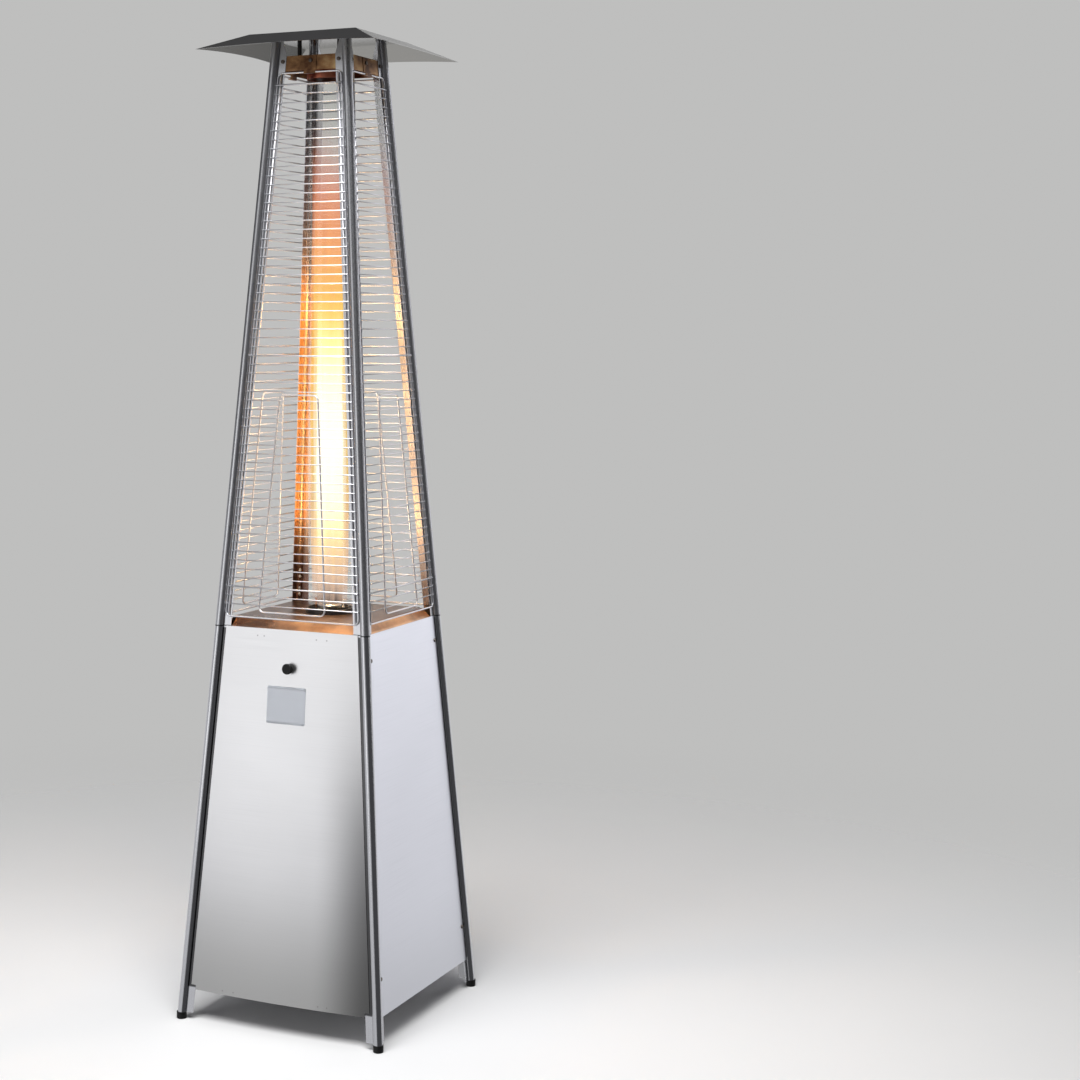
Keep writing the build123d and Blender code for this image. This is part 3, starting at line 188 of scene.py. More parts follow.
class Shader:
    """A procedural material or world in the making."""

    def __init__(self, data: Union[Material, World], place: str) -> None:
        """Start with an empty node tree.

        Args:
            data: The material or world in the making.
            place: The texture coordinate that its patterns follow.
        """
        self.data = data
        self.data.use_nodes = True
        self.tree = self.data.node_tree
        self.tree.nodes.clear()
        self.place = self.node("ShaderNodeTexCoord").outputs[place]
        parts = self.node("ShaderNodeSeparateXYZ", {}, {0: self.place})
        self.x, self.y, self.z = (Value(self, socket) for socket in parts.outputs)

    @classmethod
    def named(cls, name: str) -> "Shader":
        """Start a material."""
        return cls(bpy.data.materials.new(name), "Object")

    @classmethod
    def around(cls, world: World) -> "Shader":
        """Start the shader of the surroundings."""
        return cls(world, "Generated")

    def node(
        self,
        kind: str,
        settings: Optional[Dict[str, Any]] = None,
        sockets: Optional[Dict[Any, Any]] = None,
    ) -> Node:
        """Add any node.

        Args:
            kind: The node's type.
            settings: Its properties, set first. "stops" fills a colour ramp.
            sockets: What goes into its sockets, by name or number.

        Returns:
            The new node.
        """
        node = self.tree.nodes.new(kind)
        for name, setting in (settings or {}).items():
            if name == "stops":
                self._fill_ramp(node.color_ramp, setting)
            else:
                setattr(node, name, setting)
        for name, given in (sockets or {}).items():
            socket = node.inputs[name]
            if isinstance(given, Value):
                self.tree.links.new(given.socket, socket)
            elif isinstance(given, NodeSocket):
                self.tree.links.new(given, socket)
            else:
                socket.default_value = given
        return node

    @staticmethod
    def _fill_ramp(ramp: ColorRamp, stops: Stops) -> None:
        """Set a ramp's stops.

        Args:
            ramp: The ramp.
            stops: Positions with their colours.
        """
        while len(ramp.elements) < len(stops):
            ramp.elements.new(1.0)
        for element, (position, colour) in zip(ramp.elements, stops):
            element.position = position
            element.color = (*colour, 1.0)

    def noise(self, stretch: Point, detail: float = 2.0, roughness: float = 0.5) -> Value:
        """Add noise that is stretched along the axes.

        Args:
            stretch: Waves per metre along X, Y and Z.
            detail: How many finer layers it has.
            roughness: How strong they are.

        Returns:
            A number from 0 to 1.
        """
        scaled = self.node("ShaderNodeVectorMath", {"operation": "MULTIPLY"}, {0: self.place, 1: stretch})
        sockets = {"Vector": scaled.outputs[0], "Scale": 1.0, "Detail": detail, "Roughness": roughness}
        return Value(self, self.node("ShaderNodeTexNoise", {}, sockets).outputs[0])

    def mix(self, share: Union[Value, float], first: Any, second: Any) -> NodeSocket:
        """Mix two colours.

        Args:
            share: How much of the second one shows.
            first: A colour or a colour socket.
            second: A colour or a colour socket.

        Returns:
            The mixed colour.
        """
        sockets = {0: share, 6: self._rgba(first), 7: self._rgba(second)}
        return self.node("ShaderNodeMix", {"data_type": "RGBA"}, sockets).outputs[2]

    def ramp(self, value: Value, stops: Stops) -> NodeSocket:
        """Turn a number into a colour.

        Args:
            value: A number from 0 to 1.
            stops: Positions with their colours.

        Returns:
            The colour.
        """
        return self.node("ShaderNodeValToRGB", {"stops": stops}, {0: value}).outputs[0]

    def bump(self, height: Value, depth: float) -> NodeSocket:
        """Turn a height into a bumped normal.

        Args:
            height: A number from 0 to 1.
            depth: The depth of the bumps in metres.

        Returns:
            The normal.
        """
        sockets = {"Strength": 1.0, "Distance": depth, "Height": height}
        return self.node("ShaderNodeBump", {}, sockets).outputs[0]

    @staticmethod
    def _rgba(colour: Any) -> Any:
        """Give a plain colour its fourth number."""
        return (*colour, 1.0) if isinstance(colour, tuple) and len(colour) == 3 else colour

    def surface(self, sockets: Dict[str, Any]) -> Node:
        """Add the main shader.

        Args:
            sockets: What goes into its sockets.

        Returns:
            The shader node.
        """
        filled = {name: self._rgba(given) for name, given in sockets.items()}
        return self.node("ShaderNodeBsdfPrincipled", {}, filled)

    def close(self, shader: Node) -> Material:
        """Send a shader to the output.

        Args:
            shader: The last shader node.

        Returns:
            The finished material.
        """
        self.node("ShaderNodeOutputMaterial", {}, {"Surface": shader.outputs[0]})
        return self.data

    def metal(self, colour: Any, rough: Value, normal: NodeSocket) -> Material:
        """Finish the material as bare metal.

        Args:
            colour: Its colour.
            rough: Its roughness.
            normal: Its bumped normal.

        Returns:
            The finished material.
        """
        sockets = {"Base Color": colour, "Metallic": 1.0, "Roughness": rough, "Normal": normal}
        return self.close(self.surface(sockets))


@dataclass(frozen=True)
class BrushedSteel:
    """Stainless steel with brush marks, smudges, optional painted shade, and an optional heat tint with
    painted flame glow.
    """

    # Wear: what a brush mark keeps of the colour, smudges, and how both change the roughness
    WORN_SHARE = 0.7
    SMUDGE_WAVES = (3.0, 3.0, 2.2)
    STREAK_SWING = 0.1
    SMUDGE_SWING = 0.12
    # Shade on the door's right side, which fades upwards
    SHADE = (0.0, 0.0, 0.0)
    SHADE_ACROSS = (0.075, 0.23)
    SHADE_HEIGHT = (0.3, 0.95)
    # Heat tint with painted glow of the flame, on the faces that look at it: beside it, at its foot, and on
    # the other side of it
    HEAT_AND_GLOW = (0.80, 0.48, 0.23)
    SOOT = (0.17, 0.085, 0.055)
    LEE = (0.48, 0.37, 0.30)
    SOOT_HEIGHT = (0.98, 1.2)
    LEE_ACROSS = (-0.02, 0.02)
    HOT_FACING = (0.25, 0.8)
    HOT_HEIGHT = (0.96, 1.6, 0.25)
    # Painted shade on the wings behind the cabinet's sheets: a near-black band in the gap beside each sheet
    WING_SHADE = (0.02, 0.02, 0.02)
    WING_SHADE_SHARE = 0.9
    WING_GAP = (0.009, 0.0115)
    WING_HEIGHT = (0.078, 0.906, 0.004)
    # Weld spots
    WELD = (0.16, 0.15, 0.15)
    WELD_SHARE = 0.55
    WELD_DEPTH = 2.0
    WELD_EDGE = (0.0012, 0.0024)
    # The dark line where two posts meet
    SEAM = (0.03, 0.03, 0.03)
    SEAM_SHARE = 0.85
    SEAM_HALF = 0.0012
    SEAM_EDGE = 0.0006

    name: str
    colour: Colour
    # painted shade: a darker colour at the foot of the sheet
    painted_foot_shade: Optional[Colour] = None  # at the foot, from low to high turning into the other
    low: float = 0.0
    high: float = 0.5
    roughness: float = 0.3
    grain: Grain = Grain.LEVEL
    grain_depth: float = 0.000006
    streak: float = 0.5
    # share of heat tint with painted flame glow
    heat_and_glow: float = 0.0
    seam: Optional[float] = None
    marks: Tuple[Tuple[float, float], ...] = ()  # places across the sheet with their heights
    side_shade: float = 0.0
    # painted shade on the covered wings, in the gaps beside the cabinet's sheets
    shaded_wings: bool = False

    def make(self) -> Material:
        """Build the material.

        Returns:
            The finished material.
        """
        shader = Shader.named(self.name)
        streaks = shader.noise(self.grain.value)
        smudges = shader.noise(self.SMUDGE_WAVES, 3.0)
        worn = tuple(self.WORN_SHARE * part for part in self.colour)
        colour = shader.mix((streaks - 0.5).larger(0.0) * self.streak, self.colour, worn)
        # painted shade, darker towards the foot
        if self.painted_foot_shade:
            colour = shader.mix(1 - shader.z.step(self.low, self.high), colour, self.painted_foot_shade)
        if self.side_shade:
            side = shader.x.step(*self.SHADE_ACROSS) * (1 - shader.z.step(*self.SHADE_HEIGHT))
            colour = shader.mix(side * self.side_shade, colour, self.SHADE)
        rough = self.roughness + (streaks - 0.5) * self.STREAK_SWING + (smudges - 0.5) * self.SMUDGE_SWING
        # heat tint and painted flame glow: orange beside the flame, dark at its foot, paler on the +X side
        if self.heat_and_glow:
            glow = shader.mix(shader.z.step(*self.SOOT_HEIGHT), self.SOOT, self.HEAT_AND_GLOW)
            glow = shader.mix(shader.x.step(*self.LEE_ACROSS), glow, self.LEE)
            colour = shader.mix(self._heat_and_glow_mask(shader) * self.heat_and_glow, colour, glow)
        # painted shade: the covered stretch of the wings turns near black
        if self.shaded_wings:
            colour = shader.mix(self._wing_shade_mask(shader) * self.WING_SHADE_SHARE, colour, self.WING_SHADE)
        height = streaks
        if self.marks:
            marks = self._mark_mask(shader)
            colour = shader.mix(marks * self.WELD_SHARE, colour, self.WELD)
            height = height - marks * self.WELD_DEPTH
        if self.seam is not None:
            seam = shader.z.band(self.seam - self.SEAM_HALF, self.seam + self.SEAM_HALF, self.SEAM_EDGE)
            colour = shader.mix(seam * self.SEAM_SHARE, colour, self.SEAM)
        return shader.metal(colour, rough, shader.bump(height, self.grain_depth))

    def _heat_and_glow_mask(self, shader: Shader) -> Value:
        """Mark the faces that look at the flame, where the heat tint and the painted flame glow go.

        Args:
            shader: The material in the making.

        Returns:
            1 where the steel faces the flame at its hottest height.
        """
        normal = shader.node("ShaderNodeTexCoord").outputs["Normal"]
        parts = shader.node("ShaderNodeSeparateXYZ", {}, {0: normal})
        across, along = (Value(shader, parts.outputs[number]) for number in (0, 1))
        inwards = 0 - (across * shader.x + along * shader.y)
        reach = (shader.x * shader.x + shader.y * shader.y) ** 0.5
        facing = (inwards / reach.larger(0.001)).step(*self.HOT_FACING)
        return facing * shader.z.band(*self.HOT_HEIGHT)

    def _wing_shade_mask(self, shader: Shader) -> Value:
        """Mark the wings behind the cabinet's sheets, where painted shade darkens the gap beside each sheet.

        Args:
            shader: The material in the making.

        Returns:
            1 on the covered stretch of the wings.
        """
        posts = Posts()
        spread = posts.foot_spread - posts.lean * shader.z
        beside = (spread - abs(shader.x)).larger(spread - abs(shader.y))
        return beside.step(*self.WING_GAP) * shader.z.band(*self.WING_HEIGHT)

    def _mark_mask(self, shader: Shader) -> Value:
        """Mark the weld spots.

        Args:
            shader: The material in the making.

        Returns:
            1 on each spot.
        """
        total: Union[Value, float] = 0.0
        for x, z in self.marks:
            aside = shader.x - x
            above = shader.z - z
            distance = (aside * aside + above * above) ** 0.5
            total = (1 - distance.step(*self.WELD_EDGE)) + total
        return total


@dataclass(frozen=True)
class TintedSteel:
    """Stainless steel that years of heat have turned to straw, bronze and brown."""

    PLACES = (0.32, 0.5, 0.68)  # of brown, bronze and straw on the ramp
    STRETCH = 1.5  # how much flatter the patches are than wide
    FINE_WAVES = (400.0, 400.0, 400.0)
    FINE_SHARE = 0.08
    FINE_DEPTH = 0.000006
    END_SHARE = 0.34  # how much paler each side's ends are than its middle
    FLAT_EDGE = (0.0015, 0.0005)
    SOOT = (0.15, 0.105, 0.09)
    SOOT_SHARE = 0.9
    SWING = 0.2

    name: str
    straw: Colour
    bronze: Colour
    brown: Colour
    patch: float = 9.0
    roughness: float = 0.3
    flat: Optional[float] = None
    half_side: Optional[float] = None

    def make(self) -> Material:
        """Build the material.

        Returns:
            The finished material.
        """
        shader = Shader.named(self.name)
        patches = shader.noise((self.patch, self.patch, self.STRETCH * self.patch), 4.0, 0.55)
        fine = shader.noise(self.FINE_WAVES)
        share = patches * (1 - self.FINE_SHARE) + fine * self.FINE_SHARE
        if self.half_side is not None:
            across, along = abs(shader.x), abs(shader.y)
            aside = (across + along - across.larger(along)) / self.half_side
            share = share + (aside - 0.5) * self.END_SHARE
        colour = shader.ramp(share, tuple(zip(self.PLACES, (self.brown, self.bronze, self.straw))))
        if self.flat is not None:
            level = shader.z.step(*(self.flat - edge for edge in self.FLAT_EDGE))
            colour = shader.mix(level * self.SOOT_SHARE, colour, self.SOOT)
        rough = self.roughness + (patches - 0.5) * self.SWING
        return shader.metal(colour, rough, shader.bump(fine, self.FINE_DEPTH))


@dataclass(frozen=True)
class PlainMetal:
    """Plated, cast or drawn metal with a fine uneven skin."""

    STAIN_WAVES = (14.0, 14.0, 14.0)
    STAIN_EDGE = (0.35, 0.75)
    SWING = 0.2

    name: str
    colour: Colour
    dark: Colour
    roughness: float = 0.35
    scale: float = 260.0
    depth: float = 0.00003

    def make(self) -> Material:
        """Build the material.

        Returns:
            The finished material.
        """
        shader = Shader.named(self.name)
        skin = shader.noise((self.scale, self.scale, self.scale), 3.0)
        stains = shader.noise(self.STAIN_WAVES, 3.0)
        colour = shader.mix(stains.step(*self.STAIN_EDGE), self.dark, self.colour)
        rough = self.roughness + (skin - 0.5) * self.SWING
        return shader.metal(colour, rough, shader.bump(skin, self.depth))


@dataclass(frozen=True)
class MouldedSkin:
    """Moulded plastic, paint, ceramic or fibre: no metal shows."""

    DUST_WAVES = (35.0, 35.0, 35.0)
    DUST_EDGE = (0.45, 0.8)
    SWING = 0.25

    name: str
    colour: Colour
    worn: Colour
    roughness: float = 0.5
    scale: float = 900.0
    depth: float = 0.00004
    gloss: float = 0.5

    def make(self) -> Material:
        """Build the material.

        Returns:
            The finished material.
        """
        shader = Shader.named(self.name)
        pores = shader.noise((self.scale, self.scale, self.scale))
        dust = shader.noise(self.DUST_WAVES, 4.0)
        colour = shader.mix(dust.step(*self.DUST_EDGE), self.colour, self.worn)
        rough = self.roughness + (dust - 0.5) * self.SWING
        normal = shader.bump(pores, self.depth)
        sockets = {"Base Color": colour, "Roughness": rough, "Normal": normal}
        return shader.close(shader.surface({"Specular IOR Level": self.gloss, **sockets}))


@dataclass(frozen=True)
class TubeGlass:
    """Clear heat-proof glass that shows by its edges and its gloss."""

    CLEAR = (0.97, 0.97, 0.96, 1.0)
    GLOSS = (0.9, 0.92, 0.93, 1.0)
    STREAK_WAVES = (70.0, 70.0, 0.8)
    STREAK_SHARE = 0.03
    EDGE_SHARE = 0.3

    name: str = "tube_glass"
    edge: float = 0.34
    roughness: float = 0.03

    def make(self) -> Material:
        """Build the material.

        Returns:
            The finished material.
        """
        shader = Shader.named(self.name)
        clear = shader.node("ShaderNodeBsdfTransparent", {}, {"Color": self.CLEAR})
        gloss_sockets = {"Color": self.GLOSS, "Roughness": self.roughness}
        gloss = shader.node("ShaderNodeBsdfAnisotropic", {}, gloss_sockets)
        facing = Value(shader, shader.node("ShaderNodeLayerWeight", {}, {"Blend": self.edge}).outputs[1])
        streaks = shader.noise(self.STREAK_WAVES)
        share = facing * facing * self.EDGE_SHARE + streaks * self.STREAK_SHARE
        sockets = {0: share, 1: clear.outputs[0], 2: gloss.outputs[0]}
        both = shader.node("ShaderNodeMixShader", {}, sockets)
        return shader.close(both)


@dataclass(frozen=True)
class Fire:
    """Size and glow of one shell of the flame, coloured by height."""

    TONGUE_WAVES = (90.0, 90.0, 4.0)
    TONGUE_SWING = 0.12

    name: str
    top: float
    radius: float
    stops: Stops
    glow: float
    body: float
    rise: Span
    fall: Span
    low: float = 0.952
    high: float = 2.13

    def make(self) -> Material:
        """Build the material.

        Returns:
            The finished material.
        """
        shader = Shader.named(self.name)
        tongues = shader.noise(self.TONGUE_WAVES, 3.0)
        share = (shader.z - self.low) / (self.high - self.low) + (tongues - 0.5) * self.TONGUE_SWING
        colour = shader.ramp(share, self.stops)
        alpha = share.step(*self.rise) * (1 - share.step(*self.fall)) * self.body
        unlit = {"Base Color": (0.0, 0.0, 0.0), "Roughness": 1.0, "Specular IOR Level": 0.0}
        light = {"Emission Color": colour, "Emission Strength": self.glow, "Alpha": alpha}
        return shader.close(shader.surface({**unlit, **light}))


class Finishes:
    """Every finish of the heater, made once and handed out by name."""

    WELD_SPOTS = tuple((x, height) for height, places in WELD_ROWS.items() for x in places)
    SHEET = {"roughness": 0.34, "marks": WELD_SPOTS, "side_shade": 0.72}
    POST = {"grain": Grain.UPRIGHT, "grain_depth": 0.0000006, "seam": 0.912}
    POST_COLOUR = (0.50, 0.505, 0.525)
    TOP = {"patch": 22.0, "roughness": 0.4}
    MAKERS = (
        # the second colour of the door and side sheets is painted shade at their foot
        BrushedSteel("door_steel", (0.65, 0.65, 0.66), (0.42, 0.42, 0.415), 0.06, 0.42, **SHEET),
        BrushedSteel("panel_steel", (0.74, 0.75, 0.80), (0.66, 0.67, 0.71), 0.06, 0.3, roughness=0.33),
        BrushedSteel("hood_steel", (0.33, 0.325, 0.31), roughness=0.22),
        # the lower posts' covered wings carry painted shade
        BrushedSteel("lower_post_steel", POST_COLOUR, roughness=0.2, shaded_wings=True, **POST),
        # the upper posts carry heat tint with painted flame glow
        BrushedSteel("upper_post_steel", POST_COLOUR, roughness=0.28, heat_and_glow=0.95, **POST),
        BrushedSteel("plate_foil", (0.76, 0.785, 0.83), roughness=0.34, streak=0.2),
        BrushedSteel("guard_steel", (0.74, 0.74, 0.77), roughness=0.36, grain=Grain.NONE),
        BrushedSteel("clip_steel", (0.56, 0.54, 0.51), roughness=0.3, grain=Grain.NONE),
        TintedSteel("deck_tint", (0.90, 0.54, 0.28), (0.62, 0.36, 0.20), (0.27, 0.175, 0.13), flat=0.931),
        TintedSteel(
            "frame_tint", (0.52, 0.36, 0.18), (0.31, 0.17, 0.08), (0.10, 0.048, 0.026), half_side=0.09, **TOP
        ),
        # heat tint reddened as a painted glint of the flame's reflection on the collar
        TintedSteel("collar_tint_and_glint", (0.62, 0.25, 0.15), (0.46, 0.15, 0.09), (0.2, 0.05, 0.03), **TOP),
        PlainMetal("zinc", (0.62, 0.63, 0.64), (0.46, 0.47, 0.48)),
        PlainMetal("brass", (0.78, 0.58, 0.25), (0.58, 0.40, 0.16), 0.28),
        PlainMetal("copper", (0.80, 0.42, 0.26), (0.52, 0.25, 0.15), 0.3),
        PlainMetal("cast_alloy", (0.66, 0.66, 0.67), (0.52, 0.52, 0.53), 0.45, 420.0, 0.00008),
        PlainMetal("darkened_screw", (0.22, 0.19, 0.17), (0.10, 0.085, 0.075), 0.4),
        MouldedSkin("black_plastic", (0.007, 0.007, 0.007), (0.014, 0.014, 0.014), gloss=0.2),
        MouldedSkin("red_plastic", (0.45, 0.02, 0.015), (0.38, 0.03, 0.02), 0.35),
        MouldedSkin("black_enamel", (0.018, 0.017, 0.017), (0.05, 0.045, 0.04), 0.4, 300.0),
        MouldedSkin("grey_paint", (0.26, 0.26, 0.27), (0.32, 0.32, 0.33), 0.45, 350.0),
        MouldedSkin("magnet_black", (0.03, 0.03, 0.03), (0.08, 0.08, 0.08), 0.6, 200.0),
        MouldedSkin("fibre", (0.46, 0.45, 0.42), (0.34, 0.33, 0.31), 0.9, 500.0, 0.0002),
        MouldedSkin("ceramic", (0.62, 0.60, 0.56), (0.45, 0.42, 0.38), 0.3, 120.0, 0.00001),
        TubeGlass(),
    )

    def __init__(self) -> None:
        """Make all the materials."""
        self._made = {maker.name: maker.make() for maker in self.MAKERS}

    def __getitem__(self, name: str) -> Material:
        """Hand out a finish by its name."""
        return self._made[name]


@dataclass
class DressedSolids:
    """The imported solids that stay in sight, and the finish that each one wears."""

    PLAIN = {
        "door_steel": ("front_door",),
        "panel_steel": ("panel_left", "panel_right", "panel_rear"),
        "hood_steel": ("hood",),
        "clip_steel": ("burner_head",),
        "deck_tint": ("deck_plate",),
        "frame_tint": ("top_frame", "guard_clips"),
        # the collar's heat tint carries a painted glint of the flame
        "collar_tint_and_glint": ("tube_collar",),
        "zinc": (
            *("post_splices", "control_box", "mixer_tube", "burner_tray", "hood_nuts"),
            *("door_hooks", "door_strikes", "door_rod", "pull_knob_screw"),
        ),
        "darkened_screw": ("panel_screws", "frame_screws"),
        "brass": ("valve_plug", "valve_spindle", "hose_tail", "injector"),
        "copper": ("gas_pipe", "thermocouple"),
        "cast_alloy": ("gas_valve",),
        "black_plastic": ("pull_knob", "control_knob", "ignition_lead", "igniter_body", "tilt_switch"),
        "red_plastic": ("igniter_button",),
        "black_enamel": ("burner_ring", "tube_seat", "hood_studs"),
        "grey_paint": ("bottle_tray",),
        "magnet_black": ("magnet_catches",),
        "fibre": ("tube_gasket",),
        "ceramic": ("ignition_electrode",),
        "tube_glass": ("glass_tube",),
    }
    BY_PREFIX = {
        "foot_": "black_plastic",
        "lower_post_": "lower_post_steel",
        "upper_post_": "upper_post_steel",
        "guard_": "guard_steel",
    }

    finishes: Finishes

    def finish_of(self, node: str) -> str:
        """Find a node's finish.

        Args:
            node: The node's name.

        Returns:
            The finish's name.
        """
        for finish, nodes in self.PLAIN.items():
            if node in nodes:
                return finish
        for prefix, finish in self.BY_PREFIX.items():
            if node.startswith(prefix):
                return finish
        raise KeyError(f"no finish for {node}")

    def dress(self) -> None:
        """Put its finish on every node."""
        for node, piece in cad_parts.items():
            finish = self.finish_of(node)
            material = self.finishes[finish]
            if not piece.material_slots:
                piece.data.materials.append(material)
            for slot in piece.material_slots:
                slot.material = material
            LOG.info("dressed %s in %s", node, finish)


class Workshop:
    """Turns point lists into mesh pieces."""

    END_REACH = 0.4  # how far a rod's rounded end stands out, and how wide it is there, in radii
    END_WIDTH = 0.6

    @staticmethod
    def place(name: str, data: ID) -> Object:
        """Put an object into the scene.

        Args:
            name: The object's name.
            data: Its mesh, light or camera.

        Returns:
            The new object.
        """
        made = bpy.data.objects.new(name, data)
        bpy.context.scene.collection.objects.link(made)
        return made

    @classmethod
    def solid(cls, name: str, mesh: BMesh, material: Material) -> Object:
        """Make an object from a mesh.

        Args:
            name: The object's name.
            mesh: Its shape, which is used up.
            material: Its finish.

        Returns:
            The new object.
        """
        data = bpy.data.meshes.new(name)
        mesh.to_mesh(data)
        mesh.free()
        data.materials.append(material)
        return cls.place(name, data)

    @classmethod
    def piece(cls, name: str, mesh: BMesh, material: Material, body: str) -> Object:
        """Make an object that rides on a body.

        Args:
            name: The piece's name.
            mesh: Its shape, which is used up.
            material: Its finish.
            body: The body it moves with.

        Returns:
            The new object.
        """
        bmesh.ops.recalc_face_normals(mesh, faces=mesh.faces)
        made = cls.solid(name, mesh, material)
        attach(made, body)
        LOG.info("made %s with %d faces", name, len(made.data.polygons))
        return made

    @staticmethod
    def ring(
        mesh: BMesh, middle: Vector, axes: Tuple[Vector, Vector], radius: float, sides: int
    ) -> List[BMVert]:
        """Add the corners of a round section.

        Args:
            mesh: The mesh they are added to.
            middle: The section's middle.
            axes: Two directions that span the section.
            radius: Its radius.
            sides: How many corners it has.

        Returns:
            The corners in their order.
        """
        corners = []
        for number in range(sides):
            angle = 2 * math.pi * number / sides
            offset = axes[0] * math.cos(angle) + axes[1] * math.sin(angle)
            corners.append(mesh.verts.new(middle + offset * radius))
        return corners

    @staticmethod
    def skin(mesh: BMesh, rings: List[List[BMVert]], closed: bool = False) -> None:
        """Span smooth faces from section to section, and flat ones over open ends.

        Args:
            mesh: The mesh they are added to.
            rings: The sections in their order.
            closed: Whether the last one meets the first.
        """
        pairs = list(zip(rings, rings[1:]))
        if closed:
            pairs.append((rings[-1], rings[0]))
        for near, far in pairs:
            for number in range(len(near)):
                after = (number + 1) % len(near)
                face = mesh.faces.new((near[number], near[after], far[after], far[number]))
                face.smooth = True
        if not closed:
            mesh.faces.new(rings[0])
            mesh.faces.new(rings[-1])

    @classmethod
    def sweep(cls, mesh: BMesh, path: Sequence[Vector], radius: float, sides: int, closed: bool) -> None:
        """Add a round rod along a path, with rounded ends where it is open.

        Args:
            mesh: The mesh it is added to.
            path: The points of its middle line.
            radius: Its radius.
            sides: The corners of its section.
            closed: Whether its end meets its start.
        """
        stations = list(path)
        sizes = [1.0] * len(stations)
        if not closed:
            first = (stations[0] - stations[1]).normalized() * radius * cls.END_REACH
            last = (stations[-1] - stations[-2]).normalized() * radius * cls.END_REACH
            stations = [stations[0] + first, *stations, stations[-1] + last]
            sizes = [cls.END_WIDTH, *sizes, cls.END_WIDTH]
        count = len(stations)
        rings: List[List[BMVert]] = []
        side = Vector((0.0, 1.0, 0.0))
        for number, (station, size) in enumerate(zip(stations, sizes)):
            before = stations[number - 1] if closed or number else station
            after = stations[(number + 1) % count] if closed or number < count - 1 else station
            along = (after - before).normalized()
            side = (side - along * side.dot(along)).normalized()
            rings.append(cls.ring(mesh, station, (side, along.cross(side)), radius * size, sides))
        cls.skin(mesh, rings, closed)


@dataclass
class Posts:
    """The leaning lines of the corner posts, which the other pieces follow."""

    foot_spread: float = 0.253
    lean: float = 0.0745

    def spread(self, height: float) -> float:
        """Give the distance from the middle to a post's axis at a height."""
        return self.foot_spread - self.lean * height

    def on_front(self, x: float, height: float, offset: float) -> Vector:
        """Give a point in front of the line of the front posts."""
        return Vector((x, -(self.spread(height) + offset), height))


@dataclass
class WireGuards:
    """Four welded guards of round wire."""

    posts: Posts
    finishes: Finishes
    top: float = 2.149
    foot: float = 0.9345
    rod: float = 0.002
    wire: float = 0.0013
    pitch: float = 0.02
    first_drop: float = 0.026
    wires: int = 59
    thick: Tuple[int, ...] = (0, 30, 56)
    inset: float = 0.014
    second_inset: float = 0.022
    end_gap: float = 0.013
    corner: float = 0.012
    corner_steps: int = 6
    offset: float = 0.0027
    sink: float = 0.0004
    hoop_inset: float = 0.098
    hoop_foot: float = 0.948
    hoop_top: float = 1.436
    sides: int = 10

    def point(self, side: int, height: float, inset: float, reach: float) -> Vector:
        """Give a point in front of the posts, at an inset from the axis of one of them."""
        return self.posts.on_front(side * (self.posts.spread(height) - inset), height, reach)

    def loop(self, low: float, high: float, inset: float) -> List[Vector]:
        """Give the middle line of a closed rod with round corners.

        Args:
            low: Height of its lower run.
            high: Height of its upper run.
            inset: Distance of its sides from the posts' axes.

        Returns:
            The points of the line.
        """
        places = ((1, low), (1, high), (-1, high), (-1, low))
        corners = [self.point(side, height, inset, self.offset) for side, height in places]
        line: List[Vector] = []
        for number, point in enumerate(corners):
            before = (corners[number - 1] - point).normalized()
            after = (corners[(number + 1) % len(corners)] - point).normalized()
            half = before.angle(after) / 2
            start = point + before * self.corner / math.tan(half)
            middle = point + (before + after).normalized() * self.corner / math.sin(half)
            end = point + after * self.corner / math.tan(half)
            for step in range(self.corner_steps + 1):
                share = step / self.corner_steps
                ray = (start - middle).normalized().slerp((end - middle).normalized(), share)
                line.append(middle + ray * self.corner)
        return line

    def front(self) -> BMesh:
        """Build the front guard's mesh.

        Returns:
            The mesh.
        """
        mesh = bmesh.new()
        frame_line = self.loop(self.foot, self.top, self.inset)
        hoop_line = self.loop(self.hoop_foot, self.hoop_top, self.hoop_inset)
        for line in (frame_line, hoop_line):
            Workshop.sweep(mesh, line, self.rod, self.sides, closed=True)
        reaches = (self.foot, self.top)
        for side in (-1, 1):
            ends = [self.point(side, height, self.second_inset, self.offset) for height in reaches]
            Workshop.sweep(mesh, ends, self.rod, self.sides, closed=False)
        for number in range(self.wires):
            height = self.top - self.first_drop - number * self.pitch
            radius = self.rod if number in self.thick else self.wire
            reach = self.offset + self.rod + radius - self.sink
            ends = [self.point(side, height, self.end_gap, reach) for side in (-1, 1)]
            Workshop.sweep(mesh, ends, radius, self.sides, closed=False)
        return mesh

    def build(self) -> None:
        """Build the four guards in place of their solids."""
        for number, side in enumerate(("front", "right", "rear", "left")):
            mesh = self.front()
            turn = Matrix.Rotation(math.radians(90 * number), 4, "Z")
            bmesh.ops.transform(mesh, matrix=turn, verts=mesh.verts)
            made = Workshop.piece(f"guard_wires_{side}", mesh, self.finishes["guard_steel"], BODY)
            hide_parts(f"guard_{side}")


